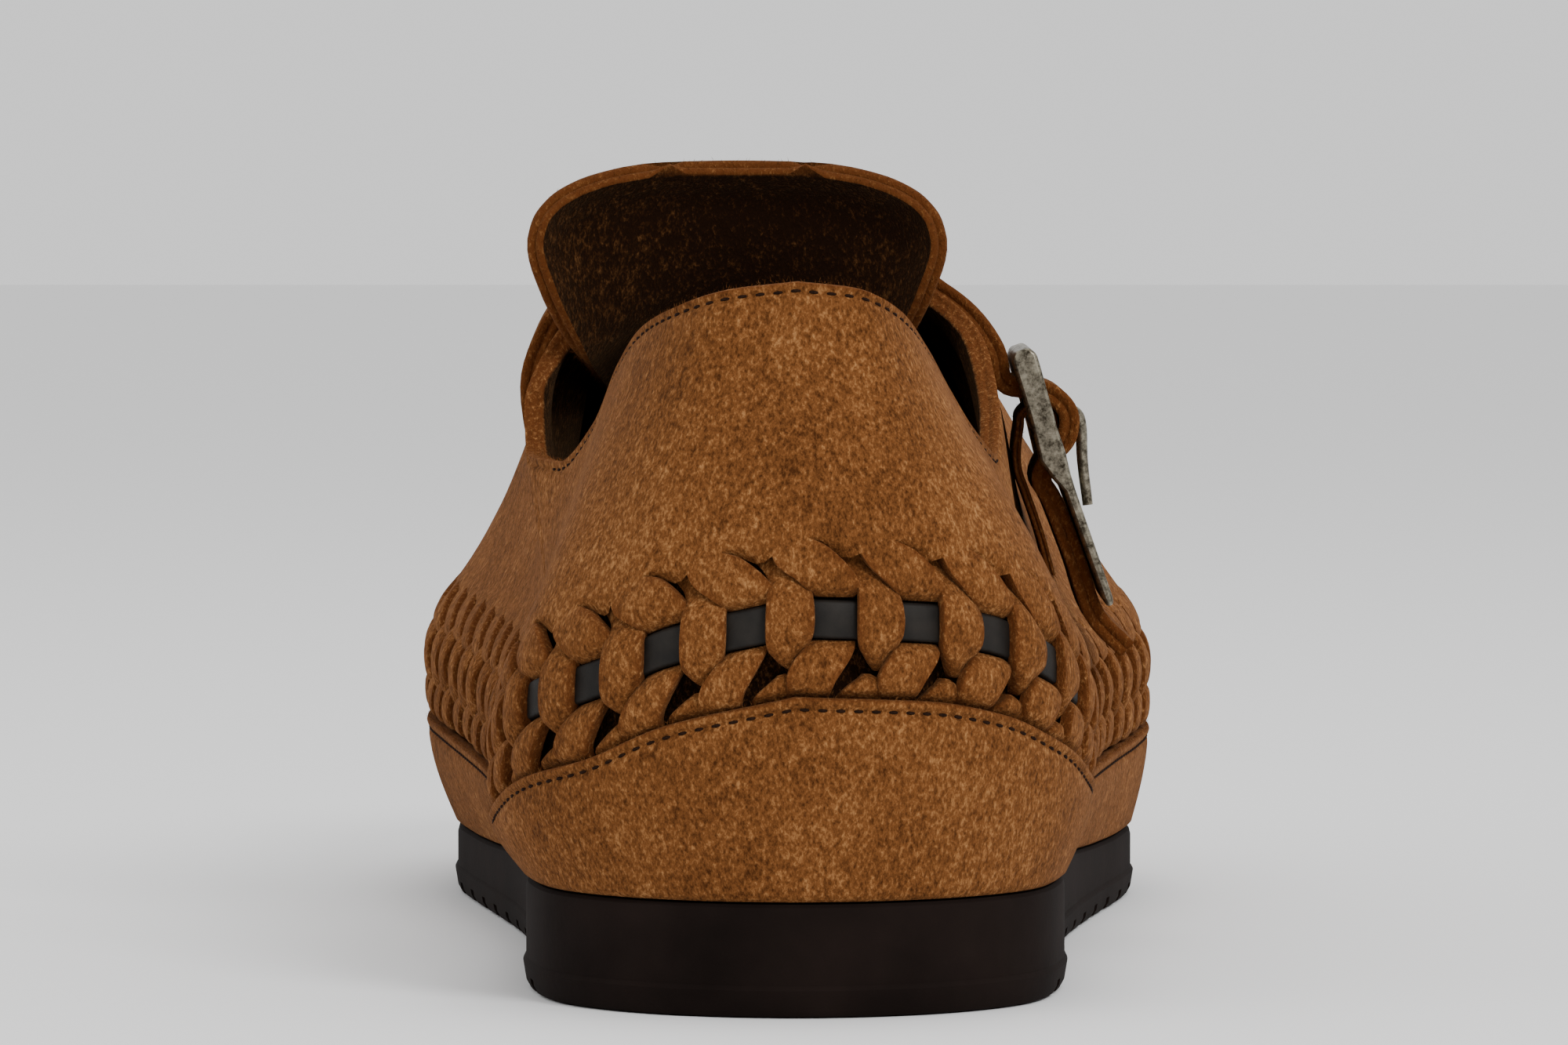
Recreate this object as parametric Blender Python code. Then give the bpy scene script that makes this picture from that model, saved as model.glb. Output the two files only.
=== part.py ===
"""A right suede clog with a closed back, a laced-strip braid all round, a tall tongue and an instep strap.

The frame is metres, +Z up. The origin is on the floor under the middle of the heel, +Y points to the toe
and +X to the outer (lateral) side of the foot. Everything is laid out from the sole's plan outline: a
place round the shoe is a share of the way round it, 0 at the back of the heel, 0.5 at the toe tip, going
round by the lateral side.
"""

import math

import bpy
import numpy as np
from mathutils import Vector
from mathutils.bvhtree import BVHTree

# Driving sizes of the shoe
LENGTH = 0.272
BALL_WIDTH = 0.100
HEEL_TO_ORIGIN = 0.034
CLEARANCE = 0.0003

# Outsole
SOLE_HEEL_THICKNESS = 0.0145
SOLE_BALL_THICKNESS = 0.0100
TOE_SPRING = 0.006
SOLE_LIP_HEIGHT = 0.0042
SOLE_LIP = 0.0004
SOLE_EDGE_ROUNDING = 0.0012
TREAD_DEPTH = 0.0020
TREAD_WIDTH = 0.0030
TREAD_LENGTH = 0.014
TREAD_PITCH = 0.0125

# Suede-covered footbed body with the foxing that stands round the upper
FOXING_HEEL_HEIGHT = 0.0410
FOXING_SIDE_HEIGHT = 0.0250
FOXING_THICKNESS = 0.0022
FOOTBED_CORE = 0.0040
SIDE_BULGE = 0.0045

# Upper
WALL = 0.0028
COUNTER_HEIGHT = 0.0932
INSTEP_HEIGHT = 0.0970
BRAID_HEIGHT = 0.0200
BRAID_TUCK = 0.0042
BRAID_UNITS = 60
STRIP_RELIEF = 0.0008
GROUND_DEPTH = 0.0003
CHANNEL_TOP = 0.0014
LACE_THICKNESS = 0.0013
LACE_HEIGHT = 0.0046
BRAID_WALL = 0.0045
GAP_DEPTH = 0.0026

# Insole
INSOLE_THICKNESS = 0.0055
INSOLE_CUP = 0.0030

# Tongue
TONGUE_HEIGHT = 0.1081
TONGUE_WIDTH = 0.0560
TONGUE_THICKNESS = 0.0026

# Straps
STRAP_WIDTH = 0.0240
STRAP_THICKNESS = 0.0024
STRAP_CREST_SHIFT = 0.0125
STRAP_LIFT = 0.0008
STRAP_FEEL = 0.0040
STRAP_FEEL_ANGLE = 0.07
TAIL_REACH = 0.0440
ANCHOR_WIDTH = 0.0200
ANCHOR_THICKNESS = 0.0011

# Buckle, laid out down the outer side from its top edge, and outward from its own middle plane
BUCKLE_TOP_X = 0.0314
BUCKLE_TOP_Z = 0.0826
BUCKLE_SLOPE = 0.3350
BUCKLE_LENGTH = 0.0374
BUCKLE_WIDTH = 0.0320
BUCKLE_RAIL = 0.0028
TOP_BAR = 0.0034
CENTRE_BAR = 0.0020
CENTRE_BAR_AT = 0.0105
PLATE_LENGTH = 0.0187
PLATE_THICKNESS = 0.0020
PRONG_DIAMETER = 0.0020
PRONG_SLOT = 0.0032

# The sole's plan outline: how far along the length, and how far out on each side as shares of half the
# ball width
PLAN_COLUMNS = ("along", "medial", "lateral")
PLAN = (
    (0.018, -0.345, 0.350),
    (0.066, -0.595, 0.605),
    (0.140, -0.695, 0.705),
    (0.250, -0.700, 0.712),
    (0.360, -0.725, 0.738),
    (0.450, -0.780, 0.795),
    (0.550, -0.868, 0.880),
    (0.640, -0.950, 0.965),
    (0.700, -0.995, 1.000),
    (0.770, -0.992, 0.962),
    (0.830, -0.945, 0.875),
    (0.885, -0.870, 0.745),
    (0.935, -0.735, 0.555),
    (0.975, -0.520, 0.310),
    (0.994, -0.300, 0.090),
)
HEEL_BACK_X = 0.005
TOE_TIP_X = -0.120
# The insole's cupped edge, from its rim inward: how far in as a share of the ball width, and its height as
# shares of its thickness and of its cup
INSOLE_SECTION = ((0.0, 0.75, 1.0), (0.012, 1.0, 1.0), (0.080, 1.0, 0.35), (0.170, 1.0, 0.0))
# Shares of the length: the tread's grooves lie between the first two, the sole thins from heel to ball
# between the next two, the toe springs from the next, and the strap and buckle stand at the last
TREAD_START = 0.12
TREAD_END = 0.84
SHANK_START = 0.16
SHANK_END = 0.62
SPRING_START = 0.74
STRAP_ALONG = 0.4228

# Sides of the shoe, by share of the half way round from heel to toe: how high the foxing stands between
# its side height and its heel height, how far the side bulges and how far the braid's top leans in
SIDE_COLUMNS = ("way", "foxing_medial", "foxing_lateral", "bulge_medial", "bulge_lateral", "tuck")
SIDES = (
    (0.000, 1.00, 1.00, 0.70, 0.70, 0.30),
    (0.050, 0.76, 0.95, 0.78, 0.74, 0.34),
    (0.085, 0.47, 0.82, 0.90, 0.80, 0.42),
    (0.120, 0.30, 0.57, 1.00, 0.84, 0.50),
    (0.170, 0.02, 0.26, 1.06, 0.86, 0.62),
    (0.230, -0.20, 0.04, 1.04, 0.84, 0.74),
    (0.330, -0.22, -0.12, 1.00, 0.78, 0.86),
    (0.450, -0.10, -0.10, 1.00, 0.64, 0.96),
    (0.600, 0.02, -0.04, 1.00, 0.56, 1.00),
    (0.750, 0.12, 0.08, 0.96, 0.66, 1.00),
    (0.880, 0.26, 0.24, 0.90, 0.80, 1.00),
    (1.000, 0.38, 0.38, 0.86, 0.86, 1.00),
)

# The collar's edge, by share of the half way round: across as a share of half the ball width, along as
# a share of the length and up as a share of the counter height
COLLAR_COLUMNS = ("way", "across", "along", "up")
COLLAR_LATERAL = (
    (0.000, 0.010, 0.029, 1.000),
    (0.038, 0.170, 0.034, 0.990),
    (0.076, 0.275, 0.062, 0.960),
    (0.120, 0.346, 0.118, 0.908),
    (0.165, 0.414, 0.170, 0.842),
    (0.210, 0.480, 0.214, 0.784),
    (0.260, 0.545, 0.258, 0.742),
    (0.310, 0.560, 0.312, 0.806),
    (0.350, 0.535, 0.352, 0.886),
    (0.394, 0.445, 0.378, 0.954),
    (0.444, 0.200, 0.402, 1.016),
    (0.500, -0.140, 0.415, 1.041),
)
COLLAR_MEDIAL = (
    (0.000, 0.010, 0.029, 1.000),
    (0.038, -0.175, 0.034, 0.988),
    (0.076, -0.300, 0.058, 0.966),
    (0.120, -0.396, 0.108, 0.934),
    (0.165, -0.462, 0.158, 0.880),
    (0.210, -0.535, 0.220, 0.790),
    (0.260, -0.640, 0.282, 0.728),
    (0.310, -0.725, 0.330, 0.734),
    (0.350, -0.740, 0.357, 0.804),
    (0.394, -0.690, 0.372, 0.880),
    (0.444, -0.510, 0.394, 0.972),
    (0.500, -0.140, 0.415, 1.041),
)

# The ridge over the foot from the throat to the toe, by share of its own way: along the length, across
# as a share of half the ball width and up as a share of the instep height
CREST_COLUMNS = ("way", "across", "along", "up")
CREST = (
    (0.0, -0.14, 0.415, 1.000),
    (0.2, -0.16, 0.497, 0.952),
    (0.4, -0.18, 0.594, 0.870),
    (0.6, -0.19, 0.692, 0.775),
    (0.8, -0.20, 0.780, 0.700),
    (1.0, -0.21, 0.850, 0.655),
)
THROAT_WAY = 0.5

# The upper's columns rise from the braid's top as curves. From this share of the half way round they turn
# from upright, at the collar, to arching over the foot, and from the share on the ridge to running back
# from the toe. The pulls are how far each curve keeps its first and last direction, as shares of its reach
TUCK_START = 0.45
ARCH_START = 0.34
COLLAR_LEAN = (0.8, 0.5)
TOE_TURN = 0.55
TOE_RISE = 0.12
QUARTER_PULL = (0.33, 0.33)
VAMP_PULL = (0.39, 0.50)

# The tongue's sections from its hidden root to its top edge: the middle's place along the length and its
# height, half the width, and how far the side edges curl back and drop, all as shares of named sizes
TONGUE_COLUMNS = ("way", "along", "height", "half_width", "curl", "drop")
TONGUE = (
    (0.00, 0.551, 0.735, 0.300, 0.000, 0.110),
    (0.20, 0.500, 0.778, 0.325, 0.030, 0.145),
    (0.38, 0.450, 0.809, 0.352, 0.090, 0.160),
    (0.52, 0.406, 0.838, 0.385, 0.170, 0.155),
    (0.66, 0.392, 0.891, 0.448, 0.180, 0.110),
    (0.80, 0.386, 0.935, 0.496, 0.165, 0.070),
    (0.93, 0.381, 0.978, 0.440, 0.130, 0.036),
    (1.00, 0.379, 0.994, 0.250, 0.040, 0.004),
)
TONGUE_MIDDLE = -0.154
# The strap's rows round the foot, in degrees from the lateral side, about a line at this height
SHANK_CENTRE_Z = 0.050
STRAP_ANGLES = (164, 152, 140, 132, 125, 118, 110, 100, 90, 80, 70, 61, 53)
# The strap's way through the buckle and the anchor's way below its loop: down the buckle and outward
STRAP_THROUGH_BUCKLE = (
    (-0.0012, -0.0031),
    (0.0042, -0.0034),
    (0.0060, 0.0016),
    (0.0076, 0.0042),
    (0.0105, 0.0051),
    (0.0134, 0.0042),
    (0.0150, 0.0016),
    (0.0178, -0.0032),
    (0.0215, -0.0028),
    (0.0300, -0.0027),
    (0.0380, -0.0026),
    (TAIL_REACH, 0.0002),
)
ANCHOR_BELOW = ((0.0132, -0.0032), (0.0158, -0.0048), (0.0190, -0.0051), (0.0250, -0.0056), (0.0310, -0.0062))
ANCHOR_LOOP_ANGLES = (0, 45, 90, 135, 180, 225, 262)
# The prong from the slot to its tip, down the buckle and outward
PRONG_PATH = ((0.0105, 0.0050), (0.0112, 0.0070), (0.0135, 0.0074), (0.0200, 0.0044), (0.0265, 0.0025))
TONGUE_ROWS = (0.0, 0.2, 0.38, 0.52, 0.62, 0.72, 0.82, 0.90, 0.96, 1.0)
TONGUE_STEPS = 8

# One unit of the braid, seen from outside: each corner's place along the unit and above the lace's
# middle, as shares of the unit's pitch and of half the braid's height, and its depth behind the strips'
# faces: on them, on the ground below them, at the seams between them or in the gaps
UNIT_COLUMNS = ("along", "up", "depth")
FACE, GROUND, SEAM, GAP = 0.0, GROUND_DEPTH, STRIP_RELIEF, GAP_DEPTH
UNIT_CORNERS = {
    "leaf_left": (-0.710, 0.85, FACE),
    "leaf_peak": (-0.310, 1.03, FACE),
    "leaf_right": (-0.010, 0.85, FACE),
    "leaf_waist": (0.120, 0.68, SEAM),
    "fork": (0.290, 0.46, SEAM),
    "strip_peak": (0.420, 0.59, SEAM),
    "strip_shoulder": (0.560, 0.49, SEAM),
    "notch": (0.160, 0.99, FACE),
    "notch_floor": (0.250, 0.70, GAP),
    "window_tl": (-0.240, 0.26, SEAM),
    "window_tr": (0.240, 0.26, SEAM),
    "window_br": (0.240, -0.26, SEAM),
    "window_bl": (-0.240, -0.26, SEAM),
    "strip_hip": (0.620, -0.43, SEAM),
    "strip_foot": (0.480, -0.63, SEAM),
    "strip_knee": (0.320, -0.43, SEAM),
    "low_right": (0.160, -0.48, SEAM),
    "low_bend": (0.000, -0.70, SEAM),
    "low_end": (-0.060, -0.93, SEAM),
    "low_start": (-0.450, -0.93, SEAM),
    "under_peak": (0.370, -0.72, SEAM),
    "under_face": (0.260, -0.87, GROUND),
    "eye_floor": (0.290, -0.53, GAP),
    "leaf_a": (-0.490, 0.66, FACE),
    "leaf_b": (-0.230, 0.43, FACE),
    "leaf_c": (0.130, 0.39, FACE),
    "leaf_d": (0.020, 0.63, FACE),
    "strip_a": (0.390, 0.42, FACE),
    "strip_b": (0.630, 0.22, FACE),
    "strip_c": (0.500, -0.46, FACE),
    "strip_d": (0.360, -0.20, FACE),
    "low_a": (-0.180, -0.40, FACE),
    "low_b": (0.120, -0.40, FACE),
    "low_c": (-0.130, -0.80, FACE),
    "low_d": (-0.410, -0.80, FACE),
}
# Faces of a unit, counter-clockwise from outside; a name with + is the next unit's corner and one with -
# the unit's before
UNIT_FACES = (
    ("leaf_left", "leaf_a", "leaf_peak"),
    ("leaf_a", "leaf_d", "leaf_right", "leaf_peak"),
    ("leaf_a", "leaf_b", "leaf_c", "leaf_d"),
    ("leaf_left", "strip_peak-", "leaf_a"),
    ("strip_peak-", "strip_shoulder-", "leaf_a"),
    ("strip_shoulder-", "leaf_b", "leaf_a"),
    ("strip_shoulder-", "window_tl", "leaf_b"),
    ("window_tl", "window_tr", "leaf_c", "leaf_b"),
    ("window_tr", "fork", "leaf_c"),
    ("fork", "leaf_waist", "leaf_d", "leaf_c"),
    ("leaf_waist", "leaf_right", "leaf_d"),
    ("leaf_right", "leaf_waist", "notch_floor"),
    ("leaf_waist", "fork", "notch_floor"),
    ("fork", "strip_peak", "notch_floor"),
    ("strip_peak", "leaf_left+", "notch_floor"),
    ("leaf_left+", "notch", "notch_floor"),
    ("notch", "leaf_right", "notch_floor"),
    ("strip_a", "strip_d", "strip_c", "strip_b"),
    ("window_tr", "strip_a", "fork"),
    ("fork", "strip_a", "strip_peak"),
    ("strip_peak", "strip_a", "strip_shoulder"),
    ("strip_shoulder", "strip_a", "strip_b"),
    ("strip_shoulder", "strip_b", "window_tl+"),
    ("window_tl+", "strip_b", "window_bl+"),
    ("window_bl+", "strip_b", "strip_c"),
    ("window_bl+", "strip_c", "strip_hip"),
    ("strip_hip", "strip_c", "strip_foot"),
    ("strip_foot", "strip_c", "strip_knee"),
    ("strip_knee", "strip_c", "strip_d"),
    ("strip_knee", "strip_d", "window_br"),
    ("window_br", "strip_d", "window_tr"),
    ("window_tr", "strip_d", "strip_a"),
    ("low_a", "low_d", "low_c", "low_b"),
    ("window_bl", "low_a", "window_br"),
    ("window_br", "low_a", "low_b"),
    ("window_br", "low_b", "low_right"),
    ("low_right", "low_b", "low_bend"),
    ("low_bend", "low_b", "low_c"),
    ("low_bend", "low_c", "low_end"),
    ("low_end", "low_c", "low_d"),
    ("low_end", "low_d", "low_start"),
    ("low_start", "low_d", "strip_foot-"),
    ("strip_foot-", "low_d", "low_a"),
    ("strip_foot-", "low_a", "strip_hip-"),
    ("strip_hip-", "low_a", "window_bl"),
    ("window_br", "low_right", "eye_floor"),
    ("low_right", "under_peak", "eye_floor"),
    ("under_peak", "strip_foot", "eye_floor"),
    ("strip_foot", "strip_knee", "eye_floor"),
    ("strip_knee", "window_br", "eye_floor"),
    ("low_right", "low_bend", "under_face"),
    ("low_bend", "low_end", "under_face"),
    ("low_end", "low_start+", "under_face"),
    ("low_start+", "strip_foot", "under_face"),
    ("strip_foot", "under_peak", "under_face"),
    ("under_peak", "low_right", "under_face"),
)
# Faces from a unit's top edge to the upper's first row, with the columns that they reach: 0 is the unit's
# own column and 1 the next unit's
UNIT_TOP = (
    (("leaf_left", "leaf_peak"), (0,)),
    (("leaf_peak", "leaf_right"), (0,)),
    (("leaf_right", "notch"), (0,)),
    (("notch",), (1, 0)),
    (("notch", "leaf_left+"), (1,)),
)
# The upper's columns run through this place in each unit, as a share of the pitch from the lace's middle
COLUMN_IN_UNIT = -0.45
BODY_ROWS = (0.07, 0.22, 0.40, 0.60, 0.80, 1.00)

HALF_BALL = BALL_WIDTH / 2
HALF_UNITS = BRAID_UNITS // 2
BRAID_CENTRE = BRAID_HEIGHT / 2
CHANNEL_FLOOR = CHANNEL_TOP + LACE_THICKNESS + 2 * CLEARANCE


def read(table, columns, name, share):
    """Value of the named column at a share, smooth between the rows and never past them."""
    xs = [row[0] for row in table]
    ys = [row[columns.index(name)] for row in table]
    share = min(max(share, xs[0]), xs[-1])
    k = min(max(int(np.searchsorted(xs, share)) - 1, 0), len(xs) - 2)
    steps = [(ys[i + 1] - ys[i]) / (xs[i + 1] - xs[i]) for i in range(len(xs) - 1)]

    def slope(i):
        if i in (0, len(xs) - 1):
            return steps[0] if i == 0 else steps[-1]
        before, after = steps[i - 1], steps[i]
        return 0.0 if before * after <= 0 else 2 * before * after / (before + after)

    width = xs[k + 1] - xs[k]
    t = (share - xs[k]) / width
    ease_out = t * t * (3 - 2 * t)
    return (
        ys[k] * (1 - ease_out)
        + ys[k + 1] * ease_out
        + slope(k) * width * t * (1 - t) ** 2
        - slope(k + 1) * width * t * t * (1 - t)
    )


def plan_outline(samples=40):
    """The sole's plan outline as two dense arrays of points, heel back to toe tip, lateral then medial."""
    rows = [(row[0] * LENGTH - HEEL_TO_ORIGIN, row[1] * HALF_BALL, row[2] * HALF_BALL) for row in PLAN]
    heel = (HEEL_BACK_X * HALF_BALL, -HEEL_TO_ORIGIN)
    toe = (TOE_TIP_X * HALF_BALL, LENGTH - HEEL_TO_ORIGIN)
    loop = [heel] + [(row[2], row[0]) for row in rows] + [toe] + [(row[1], row[0]) for row in reversed(rows)]
    loop = np.array(loop)
    count = len(loop)
    curve = []
    for i in range(count):
        p0, p1, p2, p3 = (loop[(i + k) % count] for k in (-1, 0, 1, 2))
        t0 = 0.0
        t1 = t0 + math.sqrt(np.linalg.norm(p1 - p0))
        t2 = t1 + math.sqrt(np.linalg.norm(p2 - p1))
        t3 = t2 + math.sqrt(np.linalg.norm(p3 - p2))
        for k in range(samples):
            t = t1 + (t2 - t1) * k / samples
            a1 = (t1 - t) / (t1 - t0) * p0 + (t - t0) / (t1 - t0) * p1
            a2 = (t2 - t) / (t2 - t1) * p1 + (t - t1) / (t2 - t1) * p2
            a3 = (t3 - t) / (t3 - t2) * p2 + (t - t2) / (t3 - t2) * p3
            b1 = (t2 - t) / (t2 - t0) * a1 + (t - t0) / (t2 - t0) * a2
            b2 = (t3 - t) / (t3 - t1) * a2 + (t - t1) / (t3 - t1) * a3
            curve.append((t2 - t) / (t2 - t1) * b1 + (t - t1) / (t2 - t1) * b2)
    curve = np.array(curve + [curve[0]])
    toe_index = (len(PLAN) + 1) * samples
    return curve[: toe_index + 1], curve[toe_index:][::-1]


LATERAL_OUTLINE, MEDIAL_OUTLINE = plan_outline()


def on_outline(outline, way):
    """Point and direction of travel at a share of the way from heel to toe along one side."""
    steps = np.linalg.norm(np.diff(outline, axis=0), axis=1)
    reach = np.concatenate(([0.0], np.cumsum(steps)))
    at = way * reach[-1]
    spread = 0.004
    here = np.array([np.interp(at, reach, outline[:, k]) for k in (0, 1)])
    ahead = np.array([np.interp(min(at + spread, reach[-1]), reach, outline[:, k]) for k in (0, 1)])
    behind = np.array([np.interp(max(at - spread, 0.0), reach, outline[:, k]) for k in (0, 1)])
    return here, ahead - behind


def half_way(u):
    """Share of the way from heel to toe, and whether it is on the lateral side."""
    u = u % 1.0
    return (2 * u, True) if u <= 0.5 else (2 - 2 * u, False)


def plan(u, out=0.0):
    """Plan point at a share of the way round, moved outward."""
    way, lateral = half_way(u)
    here, travel = on_outline(LATERAL_OUTLINE if lateral else MEDIAL_OUTLINE, way)
    if way in (0.0, 1.0):
        travel = np.array((1.0 if (way == 0.0) == lateral else -1.0, 0.0))
    normal = np.array((travel[1], -travel[0])) / np.linalg.norm(travel)
    return here + normal * out * (1 if lateral else -1)


def along_share(y):
    return (y + HEEL_TO_ORIGIN) / LENGTH


def ease(t):
    t = min(max(t, 0.0), 1.0)
    return t * t * (3 - 2 * t)


def floor_height(y):
    """Underside of the sole: flat from heel to ball, then rising to the toe."""
    t = max(along_share(y) - SPRING_START, 0.0) / (1 - SPRING_START)
    return TOE_SPRING * t * t


def sole_top(y):
    fall = ease((along_share(y) - SHANK_START) / (SHANK_END - SHANK_START))
    return floor_height(y) + SOLE_HEEL_THICKNESS + (SOLE_BALL_THICKNESS - SOLE_HEEL_THICKNESS) * fall


def footbed_top(y):
    return sole_top(y) + CLEARANCE + FOOTBED_CORE


def side(name, u):
    way, lateral = half_way(u)
    if name != "tuck":
        name += "_lateral" if lateral else "_medial"
    return read(SIDES, SIDE_COLUMNS, name, way)


def foxing_top(u):
    return FOXING_SIDE_HEIGHT + (FOXING_HEEL_HEIGHT - FOXING_SIDE_HEIGHT) * side("foxing", u)


def foxing_point(u, rise):
    """Outer face of the foxing, rise 0 at the sole's top edge and 1 at its own top edge."""
    x, y = plan(u, SIDE_BULGE * side("bulge", u) * math.sin(math.pi / 2 * rise))
    bottom = sole_top(plan(u)[1]) + CLEARANCE
    return Vector((x, y, bottom + (foxing_top(u) - bottom) * rise))


def band_point(u, up, depth):
    """A place in the braid band: height above the foxing's top edge, and depth below the strips' faces."""
    share = up / BRAID_HEIGHT
    tuck = BRAID_TUCK * side("tuck", u) * max((share - TUCK_START) / (1 - TUCK_START), 0.0) ** 2
    x, y = plan(u, SIDE_BULGE * side("bulge", u) - tuck - depth)
    return Vector((x, y, foxing_top(u) + up))


def column_end(u):
    """Where a column of the upper ends, and the direction in which it arrives there."""
    way, lateral = half_way(u)
    start = band_point(u, BRAID_HEIGHT, 0.0)
    if way <= THROAT_WAY:
        table = COLLAR_LATERAL if lateral else COLLAR_MEDIAL
        place = [read(table, COLLAR_COLUMNS, name, way) for name in ("across", "along", "up")]
        end = Vector((place[0] * HALF_BALL, place[1] * LENGTH - HEEL_TO_ORIGIN, place[2] * COUNTER_HEIGHT))
        climb = end - start
        arch = ease((way - ARCH_START) / (THROAT_WAY - ARCH_START))
        upright = Vector((climb.x * COLLAR_LEAN[0], climb.y * COLLAR_LEAN[1], climb.z)).normalized()
        across = Vector((-1.0 if lateral else 1.0, 0.0, 0.0))
        return end, (upright * (1 - arch) + across * arch).normalized()
    share = (way - THROAT_WAY) / (1 - THROAT_WAY)
    place = [read(CREST, CREST_COLUMNS, name, share) for name in ("across", "along", "up")]
    end = Vector((place[0] * HALF_BALL, place[1] * LENGTH - HEEL_TO_ORIGIN, place[2] * INSTEP_HEIGHT))
    across = Vector((-1.0 if lateral else 1.0, 0.0, 0.0))
    back = Vector((0.0, -1.0, TOE_RISE))
    turn = ease((share - TOE_TURN) / (1 - TOE_TURN))
    return end, (across * (1 - turn) + back * turn).normalized()


def body_point(u, t):
    """A place on the upper's outer face above the braid, t 0 at the braid's top and 1 at the end."""
    start = band_point(u, BRAID_HEIGHT, 0.0)
    below = band_point(u, BRAID_HEIGHT * 0.97, 0.0)
    leaving = (start - below).normalized()
    end, arriving = column_end(u)
    reach = (end - start).length
    forward = ease((half_way(u)[0] - ARCH_START) / (THROAT_WAY - ARCH_START))
    first = start + leaving * reach * (QUARTER_PULL[0] * (1 - forward) + VAMP_PULL[0] * forward)
    second = end - arriving * reach * (QUARTER_PULL[1] * (1 - forward) + VAMP_PULL[1] * forward)
    s = 1 - t
    return start * s**3 + first * 3 * s * s * t + second * 3 * s * t * t + end * t**3


def material(name, color, roughness, metallic=0.0):
    mat = bpy.data.materials.new(name)
    mat.use_nodes = True
    shader = mat.node_tree.nodes["Principled BSDF"]
    shader.inputs["Base Color"].default_value = (*color, 1.0)
    shader.inputs["Roughness"].default_value = roughness
    shader.inputs["Metallic"].default_value = metallic
    return mat


def add_solid(name, verts, faces, mat):
    mesh = bpy.data.meshes.new(name)
    mesh.from_pydata([tuple(v) for v in verts], [], faces)
    mesh.validate()
    mesh.materials.append(mat)
    obj = bpy.data.objects.new(name, mesh)
    bpy.context.scene.collection.objects.link(obj)
    return obj


def ladder(ring, upward):
    """Faces that close a ring of columns by rungs from each lateral column to its medial partner."""
    count = len(ring)
    half = count // 2
    faces = [(ring[0], ring[1], ring[count - 1]), (ring[half], ring[half + 1], ring[half - 1])]
    for i in range(1, half - 1):
        faces.append((ring[i], ring[i + 1], ring[count - i - 1], ring[count - i]))
    return faces if upward else [tuple(reversed(face)) for face in faces]


def stack(rings):
    """Faces between rings listed from the bottom up, seen from outside."""
    faces = []
    for low, high in zip(rings, rings[1:]):
        count = len(low)
        for i in range(count):
            j = (i + 1) % count
            faces.append((low[i], low[j], high[j], high[i]))
    return faces


def ring_solid(name, rows, mat):
    """A solid from rings of points, bottom first, closed by ladders at both ends."""
    verts = [v for row in rows for v in row]
    count = len(rows[0])
    rings = [list(range(k * count, (k + 1) * count)) for k in range(len(rows))]
    faces = stack(rings) + ladder(rings[0], False) + ladder(rings[-1], True)
    return add_solid(name, verts, faces, mat)


def outsole():
    columns = [i / BRAID_UNITS for i in range(BRAID_UNITS)]

    def row(out, height, from_top=False):
        points = []
        for u in columns:
            x, y = plan(u, out)
            base = sole_top(plan(u)[1]) if from_top else floor_height(plan(u)[1])
            points.append(Vector((x, y, base + height)))
        return points

    rows = [
        row(-SOLE_EDGE_ROUNDING, 0.0),
        row(0.0, SOLE_EDGE_ROUNDING),
        row(SOLE_LIP, SOLE_LIP_HEIGHT - SOLE_LIP),
        row(0.0, SOLE_LIP_HEIGHT),
        row(0.0, 0.0, from_top=True),
    ]
    sole = ring_solid("outsole", rows, material("eva_dark", (0.016, 0.010, 0.008), 0.75))
    boxes = [groove for outline in (LATERAL_OUTLINE, MEDIAL_OUTLINE) for groove in tread_grooves(outline)]
    cut(sole, "tread_cutter", boxes)
    return sole


def tread_grooves(outline):
    """Corners of the grooves that run in from one edge of the sole, between its flat heel and toe."""
    boxes = []
    count = int((TREAD_END - TREAD_START) * LENGTH / TREAD_PITCH)
    for k in range(count + 1):
        y = TREAD_START * LENGTH + k * TREAD_PITCH - HEEL_TO_ORIGIN
        x = outline[np.argmin(np.abs(outline[:, 1] - y)), 0]
        sign = math.copysign(1.0, x)
        middle = Vector((x - sign * TREAD_LENGTH / 2 + sign * TREAD_DEPTH, y, floor_height(y)))
        size = Vector((TREAD_LENGTH, TREAD_WIDTH, TREAD_DEPTH * 2))
        boxes.append(box_corners(middle, size))
    return boxes


BOX_FACES = ((0, 2, 3, 1), (4, 5, 7, 6), (0, 1, 5, 4), (2, 6, 7, 3), (0, 4, 6, 2), (1, 3, 7, 5))


def box_corners(middle, size, axes=None):
    """Eight corners of a box, across, along and up by its three axes."""
    axes = axes or (Vector((1, 0, 0)), Vector((0, 1, 0)), Vector((0, 0, 1)))
    corners = []
    for up in (-0.5, 0.5):
        for along in (-0.5, 0.5):
            for across in (-0.5, 0.5):
                corners.append(
                    middle + axes[0] * size.x * across + axes[1] * size.y * along + axes[2] * size.z * up
                )
    return corners


def cut(solid, name, boxes):
    """Take a set of separate boxes out of a solid."""
    verts = [corner for box in boxes for corner in box]
    faces = [tuple(8 * k + i for i in face) for k in range(len(boxes)) for face in BOX_FACES]
    cutter = add_solid(name, verts, faces, solid.data.materials[0])
    cutter.hide_render = True
    cutter.display_type = "WIRE"
    modifier = solid.modifiers.new(name, "BOOLEAN")
    modifier.operation = "DIFFERENCE"
    modifier.solver = "EXACT"
    modifier.object = cutter


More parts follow.
